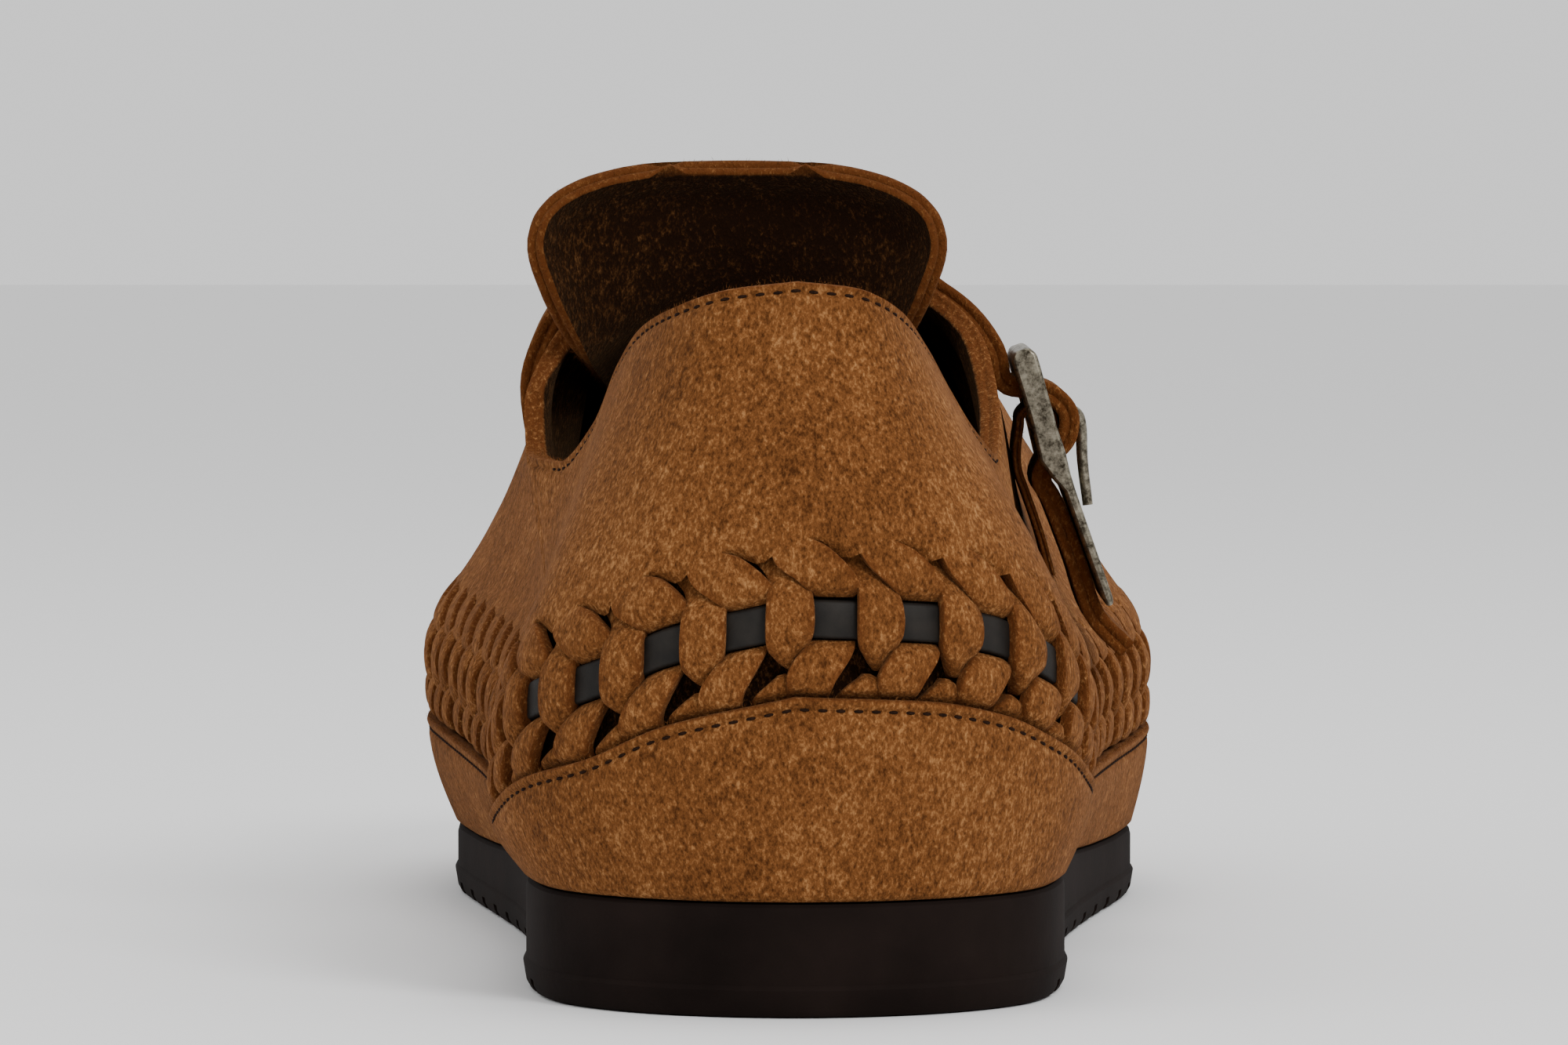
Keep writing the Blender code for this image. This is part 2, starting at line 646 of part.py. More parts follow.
def footbed_wrap():
    columns = [i / BRAID_UNITS for i in range(BRAID_UNITS)]
    rows = []
    for rise in (0.0, 0.3, 0.65, 1.0):
        rows.append([foxing_point(u, rise) for u in columns])
    rows.append([margin_point(u, foxing_top(u), FOXING_THICKNESS) for u in columns])
    rows.append([margin_point(u, footbed_top(plan(u)[1]), FOXING_THICKNESS) for u in columns])
    return ring_solid("footbed_wrap", rows, material("suede_wrap", (0.20, 0.085, 0.03), 0.95))


def insole():
    columns = [i / BRAID_UNITS for i in range(BRAID_UNITS)]
    inset = BRAID_WALL + 3 * CLEARANCE

    def row(extra, height):
        floors = [footbed_top(plan(u)[1]) + CLEARANCE for u in columns]
        return [margin_point(u, z + height, inset + extra) for u, z in zip(columns, floors)]

    rows = [row(0.0, 0.0)]
    for inward, thickness, cup in INSOLE_SECTION:
        rows.append(row(inward * BALL_WIDTH, thickness * INSOLE_THICKNESS + cup * INSOLE_CUP))
    return ring_solid("insole", rows, material("insole_suede", (0.12, 0.06, 0.03), 0.9))


class Skin:
    """Corners and faces of one solid, where a corner is made the first time its key is asked for."""

    def __init__(self):
        self.verts = []
        self.faces = []
        self.index = {}

    def corner(self, key, place):
        if key not in self.index:
            self.index[key] = len(self.verts)
            self.verts.append(place())
        return self.index[key]

    def face(self, *corners):
        distinct = list(dict.fromkeys(corners))
        if len(distinct) > 2:
            self.faces.append(tuple(distinct))


def split_name(unit, name):
    """Unit and plain corner name of a name that may point to the next unit or the one before."""
    if name.endswith("+"):
        return (unit + 1) % BRAID_UNITS, name[:-1]
    if name.endswith("-"):
        return (unit - 1) % BRAID_UNITS, name[:-1]
    return unit % BRAID_UNITS, name


def unit_share(unit, along):
    return (unit + along - COLUMN_IN_UNIT) / BRAID_UNITS


def unit_corner(name):
    """A named corner of the braid's unit, by the names of the table's columns."""
    return dict(zip(UNIT_COLUMNS, UNIT_CORNERS[name]))


def unit_point(unit, name, depth):
    """Where a unit's named corner lies, at a depth behind the strips' faces."""
    corner = unit_corner(name)
    return band_point(unit_share(unit, corner["along"]), BRAID_CENTRE * (1 + corner["up"]), depth)


def braid_corner(skin, unit, name):
    unit, name = split_name(unit, name)
    return skin.corner((unit, name), lambda: unit_point(unit, name, unit_corner(name)["depth"]))


def channel_corner(skin, unit, name, depth):
    """A corner of the lace channel, in line with the window corner of that name."""
    unit, name = split_name(unit, name)
    return skin.corner((unit, name, depth), lambda: unit_point(unit, name, depth))


def body_index(i, row):
    """Columns of the forefoot share their last corner with their partner across the ridge."""
    i %= BRAID_UNITS
    throat = round(THROAT_WAY * HALF_UNITS)
    if row == len(BODY_ROWS) - 1 and HALF_UNITS < i <= BRAID_UNITS - throat:
        i = BRAID_UNITS - i
    return i


def body_normal(u, t):
    """Outward direction of the upper's outer face."""
    du, dt = 0.002, 0.01
    along = body_point(u + du, t) - body_point(u - du, t)
    up = body_point(u, min(t + dt, 1.0)) - body_point(u, t - dt)
    return along.cross(up).normalized()


def body_corner(skin, i, row, depth):
    i = body_index(i, row)
    u = i / BRAID_UNITS
    place = lambda: body_point(u, BODY_ROWS[row]) - body_normal(u, BODY_ROWS[row]) * depth
    return skin.corner(("body", i, row, depth), place)


def margin_point(u, height, depth):
    """A place on the upper's lasted margin, behind the foxing, at a height above the floor."""
    bottom = sole_top(plan(u)[1]) + CLEARANCE
    rise = (height - bottom) / (foxing_top(u) - bottom)
    x, y = plan(u, SIDE_BULGE * side("bulge", u) * math.sin(math.pi / 2 * min(rise, 1.0)) - depth)
    return Vector((x, y, height))


def margin_corner(skin, i, where, depth):
    i %= BRAID_UNITS
    u = i / BRAID_UNITS
    if where == "foot":
        height = footbed_top(plan(u)[1]) + CLEARANCE
    else:
        height = foxing_top(u) + BRAID_CENTRE * (1 + unit_corner("low_start")["up"])
    return skin.corner(("margin", i, where, depth), lambda: margin_point(u, height, depth))


def lining_corner(skin, i, share):
    i %= BRAID_UNITS
    place = lambda: band_point(i / BRAID_UNITS, BRAID_HEIGHT * share, BRAID_WALL)
    return skin.corner(("lining", i, share), place)


def add_braid_unit(skin, unit):
    """Raised strips, notches, the window and the stretch of lace channel of one unit."""
    for names in UNIT_FACES:
        skin.face(*(braid_corner(skin, unit, name) for name in names))
    for names, column in UNIT_TOP:
        corners = [braid_corner(skin, unit, name) for name in names]
        skin.face(*corners, *(body_corner(skin, unit + step, 0, 0.0) for step in column))

    def near(name):
        return channel_corner(skin, unit, name, CHANNEL_TOP)

    def far(name):
        return channel_corner(skin, unit, name, CHANNEL_FLOOR)

    def rim(name):
        return braid_corner(skin, unit, name)

    window = ("window_tr", "window_tl", "window_bl", "window_br")
    for k in range(4):
        first, second = window[k], window[(k + 1) % 4]
        skin.face(rim(first), rim(second), near(second), near(first))
    for left, right in (("window_{}l", "window_{}r"), ("window_{}r", "window_{}l+")):
        top_left, top_right = left.format("t"), right.format("t")
        low_left, low_right = left.format("b"), right.format("b")
        skin.face(far(low_left), far(low_right), far(top_right), far(top_left))
        skin.face(near(top_right), near(top_left), far(top_left), far(top_right))
        skin.face(near(low_left), near(low_right), far(low_right), far(low_left))
    skin.face(near("window_br"), near("window_tr"), near("window_tl+"), near("window_bl+"))


def add_body(skin):
    """Vamp, quarters and counter, outside and inside, with the collar's cut edge between them."""
    last = len(BODY_ROWS) - 1
    throat = round(THROAT_WAY * HALF_UNITS)
    for i in range(BRAID_UNITS):
        for row in range(last):
            outer = [body_corner(skin, i + a, row + b, 0.0) for a, b in ((0, 0), (1, 0), (1, 1), (0, 1))]
            inner = [body_corner(skin, i + a, row + b, WALL) for a, b in ((0, 0), (0, 1), (1, 1), (1, 0))]
            skin.face(*outer)
            skin.face(*inner)
        if i < throat or i >= BRAID_UNITS - throat:
            outer = [body_corner(skin, i + a, last, 0.0) for a in (0, 1)]
            inner = [body_corner(skin, i + a, last, WALL) for a in (1, 0)]
            skin.face(*outer, *inner)


def add_margin(skin):
    """The lining behind the braid and the lasted margin down to the footbed."""
    ledge = FOXING_THICKNESS + CLEARANCE
    for i in range(BRAID_UNITS):
        start, end = braid_corner(skin, i, "low_start"), braid_corner(skin, i, "low_end")
        following = braid_corner(skin, i, "low_start+")
        step, next_step = (margin_corner(skin, i + a, "step", ledge) for a in (0, 1))
        foot, next_foot = (margin_corner(skin, i + a, "foot", ledge) for a in (0, 1))
        skin.face(end, start, step)
        skin.face(following, end, step, next_step)
        skin.face(next_step, step, foot, next_foot)
        inside = [
            [foot, next_foot],
            [margin_corner(skin, i + a, "foot", BRAID_WALL) for a in (0, 1)],
            [lining_corner(skin, i + a, 0.12) for a in (0, 1)],
            [lining_corner(skin, i + a, 0.85) for a in (0, 1)],
            [body_corner(skin, i + a, 0, WALL) for a in (0, 1)],
        ]
        for low, high in zip(inside, inside[1:]):
            skin.face(low[1], low[0], high[0], high[1])


def upper():
    """One hollow solid: braid band with its windows and lace channel, vamp, quarters and counter."""
    skin = Skin()
    for unit in range(BRAID_UNITS):
        add_braid_unit(skin, unit)
    add_body(skin)
    add_margin(skin)
    return add_solid("upper", skin.verts, skin.faces, material("suede_tan", (0.22, 0.09, 0.032), 0.95))


def braid_lace():
    """The flat lace that runs in the channel behind the strips and shows in the windows."""
    near = CHANNEL_TOP + CLEARANCE
    far = near + LACE_THICKNESS
    half = LACE_HEIGHT / 2
    section = ((half, near), (-half, near), (-half, far), (half, far))
    rings = []
    for unit in range(BRAID_UNITS):
        for name in ("window_tl", "window_tr"):
            u = unit_share(unit, unit_corner(name)["along"])
            rings.append([band_point(u, BRAID_CENTRE + up, depth) for up, depth in section])
    verts = [v for ring in rings for v in ring]
    count = len(rings)
    faces = []
    for k in range(count):
        for m in range(4):
            n = (m + 1) % 4
            a, b = k * 4, (k + 1) % count * 4
            faces.append((a + m, a + n, b + n, b + m))
    return add_solid("braid_lace", verts, faces, material("lace_rubber", (0.012, 0.010, 0.008), 0.6))


def tongue_point(way, across):
    """Middle surface of the tongue, way 0 at the root and 1 at the top, across -1 to 1."""
    along, height, half_width, curl, drop = (
        read(TONGUE, TONGUE_COLUMNS, name, way) for name in TONGUE_COLUMNS[1:]
    )
    return Vector((
        TONGUE_MIDDLE * HALF_BALL + half_width * TONGUE_WIDTH * across,
        along * LENGTH - HEEL_TO_ORIGIN - curl * TONGUE_WIDTH * across**2,
        height * TONGUE_HEIGHT - drop * TONGUE_WIDTH * across**2,
    ))


def sheet_solid(name, middle, thickness, mat):
    """A closed sheet of even thickness about a grid of points, rows upward and columns to the right."""
    grid = np.array([[tuple(p) for p in row] for row in middle])
    rise = np.gradient(grid, axis=0)
    run = np.gradient(grid, axis=1)
    normal = np.cross(run, rise)
    normal /= np.linalg.norm(normal, axis=2, keepdims=True)
    rows, columns = grid.shape[:2]
    front = (grid + normal * thickness / 2).reshape(-1, 3)
    back = (grid - normal * thickness / 2).reshape(-1, 3)
    shift = rows * columns
    faces = []
    for r in range(rows - 1):
        for c in range(columns - 1):
            a, b = r * columns + c, r * columns + c + 1
            d, e = a + columns, b + columns
            faces.append((a, b, e, d))
            faces.append((a + shift, d + shift, e + shift, b + shift))
    edge = [c for c in range(columns)]
    edge += [r * columns + columns - 1 for r in range(1, rows)]
    edge += [(rows - 1) * columns + c for c in range(columns - 2, -1, -1)]
    edge += [r * columns for r in range(rows - 2, 0, -1)]
    for a, b in zip(edge, edge[1:] + edge[:1]):
        faces.append((b, a, a + shift, b + shift))
    return add_solid(name, np.concatenate((front, back)), faces, mat)


def tongue():
    steps = [2 * k / TONGUE_STEPS - 1 for k in range(TONGUE_STEPS + 1)]
    middle = [[tongue_point(way, across) for across in steps] for way in TONGUE_ROWS]
    return sheet_solid("tongue", middle, TONGUE_THICKNESS, material("tongue_suede", (0.2, 0.08, 0.03), 0.95))


BUCKLE_DOWN = Vector((math.sin(BUCKLE_SLOPE), 0.0, -math.cos(BUCKLE_SLOPE)))
BUCKLE_OUT = Vector((math.cos(BUCKLE_SLOPE), 0.0, math.sin(BUCKLE_SLOPE)))
BUCKLE_ORIGIN = Vector((BUCKLE_TOP_X, STRAP_ALONG * LENGTH - HEEL_TO_ORIGIN, BUCKLE_TOP_Z))


def buckle_point(down, out, across):
    """A place in the buckle's own frame: down its length, outward, and forward across its width."""
    return BUCKLE_ORIGIN + BUCKLE_DOWN * down + BUCKLE_OUT * out + Vector((0.0, across, 0.0))


def strap_crest(angle):
    """How far forward the strap's rear edge bows over the instep, by its angle round the foot."""
    return STRAP_CREST_SHIFT * math.sin(angle) ** 6


def upper_reach(upper_tree, axis, angle, y):
    """How far the upper stands out from the strap's axis, at its farthest close round a place."""
    reaches = []
    for turn in (-STRAP_FEEL_ANGLE, 0.0, STRAP_FEEL_ANGLE):
        ray = Vector((math.cos(angle + turn), 0.0, math.sin(angle + turn)))
        for shift in (-STRAP_FEEL, 0.0, STRAP_FEEL):
            start = axis + Vector((0.0, y + shift, 0.0)) + ray * LENGTH
            distance = upper_tree.ray_cast(start, -ray)[3]
            if distance is not None:
                reaches.append(LENGTH - distance)
    return max(reaches)


def instep_strap(upper_tree):
    """The strap from its medial seam over the instep, through the buckle and out to its free tail."""
    lanes = [STRAP_WIDTH * (k / 3 - 0.5) for k in range(4)]
    axis = Vector((TONGUE_MIDDLE * HALF_BALL / 2, 0.0, SHANK_CENTRE_Z))
    middle = []
    for degrees in STRAP_ANGLES:
        angle = math.radians(degrees)
        ray = Vector((math.cos(angle), 0.0, math.sin(angle)))
        row = []
        for lane in lanes:
            y = BUCKLE_ORIGIN.y + strap_crest(angle) + lane
            reach = upper_reach(upper_tree, axis, angle, y) + STRAP_LIFT + STRAP_THICKNESS / 2
            row.append(axis + Vector((0.0, y, 0.0)) + ray * reach)
        middle.append(row)
    for down, out in STRAP_THROUGH_BUCKLE:
        middle.append([buckle_point(down, out, lane) for lane in lanes])
    suede = material("strap_suede", (0.2, 0.08, 0.03), 0.95)
    strap = sheet_solid("instep_strap", middle, STRAP_THICKNESS, suede)
    cut(strap, "strap_slot_cutter", [prong_slot()])
    return strap


def prong_slot():
    """The slot for the prong over the centre bar, from the bar's face outward past the strap."""
    reach = 0.009
    middle = buckle_point(CENTRE_BAR_AT, CENTRE_BAR / 2 + reach / 2, 0.0)
    size = Vector((PRONG_SLOT, PRONG_SLOT, reach))
    return box_corners(middle, size, (BUCKLE_DOWN, Vector((0.0, 1.0, 0.0)), BUCKLE_OUT))


def anchor_strap():
    """The short strap sewn to the side, whose upper end loops round the buckle's centre bar."""
    loop = CENTRE_BAR * math.sqrt(0.5) + 1.5 * CLEARANCE + ANCHOR_THICKNESS / 2
    path = []
    for degrees in ANCHOR_LOOP_ANGLES:
        angle = math.radians(degrees)
        path.append((CENTRE_BAR_AT + loop * math.cos(angle), loop * math.sin(angle)))
    path.extend(ANCHOR_BELOW)
    lanes = [ANCHOR_WIDTH * (k / 3 - 0.5) for k in range(4)]
    middle = [[buckle_point(down, out, lane) for lane in lanes] for down, out in path]
    suede = material("anchor_suede", (0.2, 0.08, 0.03), 0.95)
    strap = sheet_solid("anchor_strap", middle, ANCHOR_THICKNESS, suede)
    cut(strap, "anchor_slot_cutter", [prong_slot()])
    return strap


def buckle_frame():
    """Top bar, side rails, centre bar and wide lower plate, as one casting."""
    half = BUCKLE_WIDTH / 2
    across = (-half, -half + BUCKLE_RAIL, half - BUCKLE_RAIL, half)
    plate = BUCKLE_LENGTH - PLATE_LENGTH
    # Where each row lies down the frame, and half its thickness there
    downs = (
        (0.0, TOP_BAR * 0.26),
        (TOP_BAR * 0.35, TOP_BAR / 2),
        (TOP_BAR, TOP_BAR * 0.38),
        (CENTRE_BAR_AT - CENTRE_BAR / 2, CENTRE_BAR / 2),
        (CENTRE_BAR_AT + CENTRE_BAR / 2, CENTRE_BAR / 2),
        (plate, PLATE_THICKNESS * 0.55),
        (plate + PLATE_LENGTH * 0.2, PLATE_THICKNESS / 2),
        (BUCKLE_LENGTH - PLATE_THICKNESS * 0.6, PLATE_THICKNESS / 2),
        (BUCKLE_LENGTH, PLATE_THICKNESS * 0.3),
    )
    open_cells = {(2, 1), (4, 1)}
    skin = Skin()

    def corner(row, column, face):
        down, thick = downs[row]
        return skin.corner((row, column, face), lambda: buckle_point(down, face * thick, across[column]))

    solid_cells = [(r, c) for r in range(len(downs) - 1) for c in range(3) if (r, c) not in open_cells]
    for r, c in solid_cells:
        ring = ((r, c), (r + 1, c), (r + 1, c + 1), (r, c + 1))
        skin.face(*(corner(a, b, 1) for a, b in ring))
        skin.face(*(corner(a, b, -1) for a, b in reversed(ring)))
        beside = ((r, c - 1), (r + 1, c), (r, c + 1), (r - 1, c))
        for k, neighbour in enumerate(beside):
            if neighbour not in solid_cells:
                (a, b), (d, e) = ring[k], ring[(k + 1) % 4]
                skin.face(corner(d, e, 1), corner(a, b, 1), corner(a, b, -1), corner(d, e, -1))
    bronze = material("bronze", (0.16, 0.13, 0.09), 0.35, 1.0)
    return add_solid("buckle_frame", skin.verts, skin.faces, bronze)


def buckle_prong():
    """The prong: out through the slot over the centre bar, then down to rest on the plate."""
    path = [(CENTRE_BAR_AT, CENTRE_BAR / 2 + CLEARANCE)] + list(PRONG_PATH)
    sides = 6
    verts = []
    for k, (down, out) in enumerate(path):
        before, after = path[max(k - 1, 0)], path[min(k + 1, len(path) - 1)]
        travel = (BUCKLE_DOWN * (after[0] - before[0]) + BUCKLE_OUT * (after[1] - before[1])).normalized()
        wide = Vector((0.0, 1.0, 0.0))
        high = travel.cross(wide)
        for m in range(sides):
            angle = 2 * math.pi * m / sides
            offset = (wide * math.cos(angle) + high * math.sin(angle)) * PRONG_DIAMETER / 2
            verts.append(buckle_point(down, out, 0.0) + offset)
    faces = [tuple(reversed(range(sides))), tuple(range(len(verts) - sides, len(verts)))]
    for k in range(len(path) - 1):
        for m in range(sides):
            n = (m + 1) % sides
            faces.append((k * sides + m, k * sides + n, (k + 1) * sides + n, (k + 1) * sides + m))
    return add_solid("buckle_prong", verts, faces, material("prong_bronze", (0.2, 0.17, 0.12), 0.35, 1.0))


def main():
    for obj in list(bpy.data.objects):
        bpy.data.objects.remove(obj, do_unlink=True)
    outsole()
    footbed_wrap()
    insole()
    shell = upper()
    braid_lace()
    tongue()
    shell_tree = BVHTree.FromPolygons(
        [vertex.co for vertex in shell.data.vertices], [tuple(face.vertices) for face in shell.data.polygons]
    )
    instep_strap(shell_tree)
    anchor_strap()
    buckle_frame()
    buckle_prong()


main()
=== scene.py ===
"""Looks of a right suede clog: laced-strip braid, tall tongue, buckled instep strap and a dark foam sole.

Everything is in metres in the shoe's own frame: the origin is on the floor under the middle of the heel,
+Y points to the toe and +X to the outer side of the foot. A place round the shoe is a share of the way
round its sole, 0 at the back of the heel and 0.5 at the toe tip, going by the outer side.
"""

import math

import bpy
import numpy as np
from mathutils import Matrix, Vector
from mathutils.bvhtree import BVHTree


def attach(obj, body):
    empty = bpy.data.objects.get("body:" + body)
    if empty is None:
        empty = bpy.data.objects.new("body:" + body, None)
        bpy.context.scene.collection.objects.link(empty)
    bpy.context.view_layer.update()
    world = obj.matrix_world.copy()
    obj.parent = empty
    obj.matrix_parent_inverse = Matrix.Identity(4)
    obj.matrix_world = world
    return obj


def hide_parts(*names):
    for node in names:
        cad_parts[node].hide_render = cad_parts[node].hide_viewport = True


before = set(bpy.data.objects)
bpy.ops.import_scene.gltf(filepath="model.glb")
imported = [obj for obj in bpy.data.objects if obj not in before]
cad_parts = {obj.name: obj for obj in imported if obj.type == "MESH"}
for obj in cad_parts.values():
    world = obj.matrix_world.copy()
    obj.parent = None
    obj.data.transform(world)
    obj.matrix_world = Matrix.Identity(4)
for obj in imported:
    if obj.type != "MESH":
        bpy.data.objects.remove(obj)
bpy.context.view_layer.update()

# Studio
# A level pale floor in a pale room, lit by soft panels: a large one high on the left behind the camera, a
# weaker one on the right and one overhead. The camera stands straight behind the heel, as in the photo.
CAMERA_BEHIND_HEEL = 1.100
CAMERA_HEIGHT = 0.110
CAMERA_TILT = math.radians(2.446)
CAMERA_PAN = math.radians(0.062)
CAMERA_LENS = 200.0
FLOOR_SIZE = 12.0
ROOM_WHITE = (1.0, 1.0, 1.0)
ROOM_LIGHT = 1.0
FLOOR_SHADE = (0.86, 0.86, 0.86)
FLOOR_ROUGHNESS = 0.85
HEEL_TO_ORIGIN = 0.034
SHOE_MIDDLE = Vector((0.0, 0.06, 0.05))
# Each soft panel's name, place, size and power; all of them face the shoe
SOFT_PANELS = (
    ("key_panel", (0.75, -1.15, 1.10), 0.60, 16.0),
    ("side_panel", (-1.15, -0.55, 0.60), 0.70, 1.5),
    ("top_panel", (0.10, 0.25, 1.30), 0.90, 5.0),
)

lens = bpy.data.cameras.new("camera")
lens.lens = CAMERA_LENS
lens.clip_start = 0.05
camera = bpy.data.objects.new("camera", lens)
camera.location = (0.0, -HEEL_TO_ORIGIN - CAMERA_BEHIND_HEEL, CAMERA_HEIGHT)
camera.rotation_euler = (math.pi / 2 - CAMERA_TILT, 0.0, CAMERA_PAN)
bpy.context.scene.collection.objects.link(camera)
bpy.context.scene.camera = camera

for name, place, size, power in SOFT_PANELS:
    panel = bpy.data.lights.new(name, "AREA")
    panel.shape = "DISK"
    panel.size = size
    panel.energy = power
    light = bpy.data.objects.new(name, panel)
    light.location = place
    light.rotation_euler = (SHOE_MIDDLE - Vector(place)).to_track_quat("-Z", "Y").to_euler()
    bpy.context.scene.collection.objects.link(light)

room = bpy.data.worlds.new("room")
room.use_nodes = True
room.node_tree.nodes["Background"].inputs["Color"].default_value = (*ROOM_WHITE, 1.0)
room.node_tree.nodes["Background"].inputs["Strength"].default_value = ROOM_LIGHT
bpy.context.scene.world = room


def plain_material(name, color, roughness, metallic=0.0):
    """A Principled material and the tree and shader in which its finish is built."""
    finish = bpy.data.materials.new(name)
    finish.use_nodes = True
    shader = finish.node_tree.nodes["Principled BSDF"]
    shader.inputs["Base Color"].default_value = (*color, 1.0)
    shader.inputs["Roughness"].default_value = roughness
    shader.inputs["Metallic"].default_value = metallic
    return finish, finish.node_tree, shader


half_floor = FLOOR_SIZE / 2
floor_mesh = bpy.data.meshes.new("floor")
floor_corners = [(x * half_floor, y * half_floor, 0.0) for x, y in ((-1, -1), (1, -1), (1, 1), (-1, 1))]
floor_mesh.from_pydata(floor_corners, [], [(0, 1, 2, 3)])
floor_mesh.materials.append(plain_material("pale_floor", FLOOR_SHADE, FLOOR_ROUGHNESS)[0])
floor = bpy.data.objects.new("floor", floor_mesh)
bpy.context.scene.collection.objects.link(floor)

# Outsole
# One moulding of dark brown closed-cell foam, glued under the footbed. Its side is smooth and nearly
# upright, with a thin lip low down, and short grooves run in from its edge to make the tread.
LENGTH = 0.272
BALL_WIDTH = 0.100
HALF_BALL = BALL_WIDTH / 2
SOLE_HEEL_THICKNESS = 0.0145
SOLE_BALL_THICKNESS = 0.0100
TOE_SPRING = 0.006
SPRING_START = 0.74
SHANK_START = 0.16
SHANK_END = 0.62
SOLE_COLUMNS = 420
SOLE_CREASE = 35
# Height above the underside or, for the last rows, below the top; and how far out from the plan outline
SOLE_FOOT_ROWS = ((0.0, -0.0012), (0.0003, -0.0005), (0.0012, 0.0), (0.0036, 0.0004), (0.0040, 0.0002))
SOLE_TOP_ROWS = ((0.0042, 0.0), (0.0100, 0.0), (0.0012, 0.0), (0.0004, -0.0002), (0.0, -0.0007))
TREAD_DEPTH = 0.0020
TREAD_WIDTH = 0.0030
TREAD_LENGTH = 0.014
TREAD_PITCH = 0.0125
TREAD_START = 0.12
TREAD_END = 0.84
PLAN = (
    (0.018, -0.345, 0.350),
    (0.066, -0.595, 0.605),
    (0.140, -0.695, 0.705),
    (0.250, -0.700, 0.712),
    (0.360, -0.725, 0.738),
    (0.450, -0.780, 0.795),
    (0.550, -0.868, 0.880),
    (0.640, -0.950, 0.965),
    (0.700, -0.995, 1.000),
    (0.770, -0.992, 0.962),
    (0.830, -0.945, 0.875),
    (0.885, -0.870, 0.745),
    (0.935, -0.735, 0.555),
    (0.975, -0.520, 0.310),
    (0.994, -0.300, 0.090),
)
HEEL_BACK_X = 0.005
TOE_TIP_X = -0.120


def sole_outline(samples=40):
    """The sole's plan outline, from the heel's back round by the outer side, and where its toe tip is."""
    points = [(HEEL_BACK_X * HALF_BALL, -HEEL_TO_ORIGIN)]
    points += [(lateral * HALF_BALL, along * LENGTH - HEEL_TO_ORIGIN) for along, _, lateral in PLAN]
    points += [(TOE_TIP_X * HALF_BALL, LENGTH - HEEL_TO_ORIGIN)]
    points += [(medial * HALF_BALL, along * LENGTH - HEEL_TO_ORIGIN) for along, medial, _ in reversed(PLAN)]
    loop = np.array(points)
    curve = []
    for i in range(len(loop)):
        p0, p1, p2, p3 = (loop[(i + k) % len(loop)] for k in (-1, 0, 1, 2))
        t0 = 0.0
        t1 = t0 + math.sqrt(np.linalg.norm(p1 - p0))
        t2 = t1 + math.sqrt(np.linalg.norm(p2 - p1))
        t3 = t2 + math.sqrt(np.linalg.norm(p3 - p2))
        for k in range(samples):
            t = t1 + (t2 - t1) * k / samples
            a1 = (t1 - t) / (t1 - t0) * p0 + (t - t0) / (t1 - t0) * p1
            a2 = (t2 - t) / (t2 - t1) * p1 + (t - t1) / (t2 - t1) * p2
            a3 = (t3 - t) / (t3 - t2) * p2 + (t - t2) / (t3 - t2) * p3
            b1 = (t2 - t) / (t2 - t0) * a1 + (t - t0) / (t2 - t0) * a2
            b2 = (t3 - t) / (t3 - t1) * a2 + (t - t1) / (t3 - t1) * a3
            curve.append((t2 - t) / (t2 - t1) * b1 + (t - t1) / (t2 - t1) * b2)
    return np.array(curve + [curve[0]]), (len(PLAN) + 1) * samples


def reach_along(line):
    """Length along a line at each of its corners."""
    return np.concatenate(([0.0], np.cumsum(np.linalg.norm(np.diff(line, axis=0), axis=1))))


def at_reach(values, reach, where):
    """Values at lengths along a line whose corners lie at the given reach."""
    return np.stack([np.interp(where, reach, values[:, k]) for k in range(values.shape[1])], axis=-1)


OUTLINE, TOE_INDEX = sole_outline()
OUTLINE_REACH = reach_along(OUTLINE)
# How far to either side the outline is felt for its direction
OUTLINE_FEEL = 0.004


def unit_vector(vectors):
    """Vectors of the same directions and of length one."""
    return vectors / np.linalg.norm(vectors, axis=-1, keepdims=True)


def ease(t):
    """A soft step from 0 to 1 while t goes from 0 to 1."""
    t = np.clip(t, 0.0, 1.0)
    return t * t * (3 - 2 * t)


def on_outline(reach):
    """Plan points at lengths along the closed outline."""
    return at_reach(OUTLINE, OUTLINE_REACH, np.mod(reach, OUTLINE_REACH[-1]))


def plan(u, out=0.0):
    """Plan points at shares of the way round, moved outward."""
    u = np.mod(u, 1.0)
    toe, whole = OUTLINE_REACH[TOE_INDEX], OUTLINE_REACH[-1]
    reach = np.where(u <= 0.5, 2 * u * toe, toe + (2 * u - 1) * (whole - toe))
    travel = on_outline(reach + OUTLINE_FEEL) - on_outline(reach - OUTLINE_FEEL)
    outward = unit_vector(np.stack((travel[..., 1], -travel[..., 0]), axis=-1))
    return on_outline(reach) + outward * np.asarray(out)[..., None]


def along_share(y):
    """Share of the sole's length from the back of the heel."""
    return (y + HEEL_TO_ORIGIN) / LENGTH


def floor_height(y):
    """Height of the sole's underside, which springs up at the toe."""
    t = np.clip((along_share(y) - SPRING_START) / (1 - SPRING_START), 0.0, None)
    return TOE_SPRING * t * t


def sole_top(y):
    """Height of the sole's top edge, thick at the heel and thinner at the ball."""
    fall = ease((along_share(y) - SHANK_START) / (SHANK_END - SHANK_START))
    return floor_height(y) + SOLE_HEEL_THICKNESS + (SOLE_BALL_THICKNESS - SOLE_HEEL_THICKNESS) * fall


def with_height(xy, z):
    """Places from plan points and heights."""
    xy, z = np.broadcast_arrays(xy, np.asarray(z)[..., None])
    return np.concatenate((xy, z[..., :1]), axis=-1)


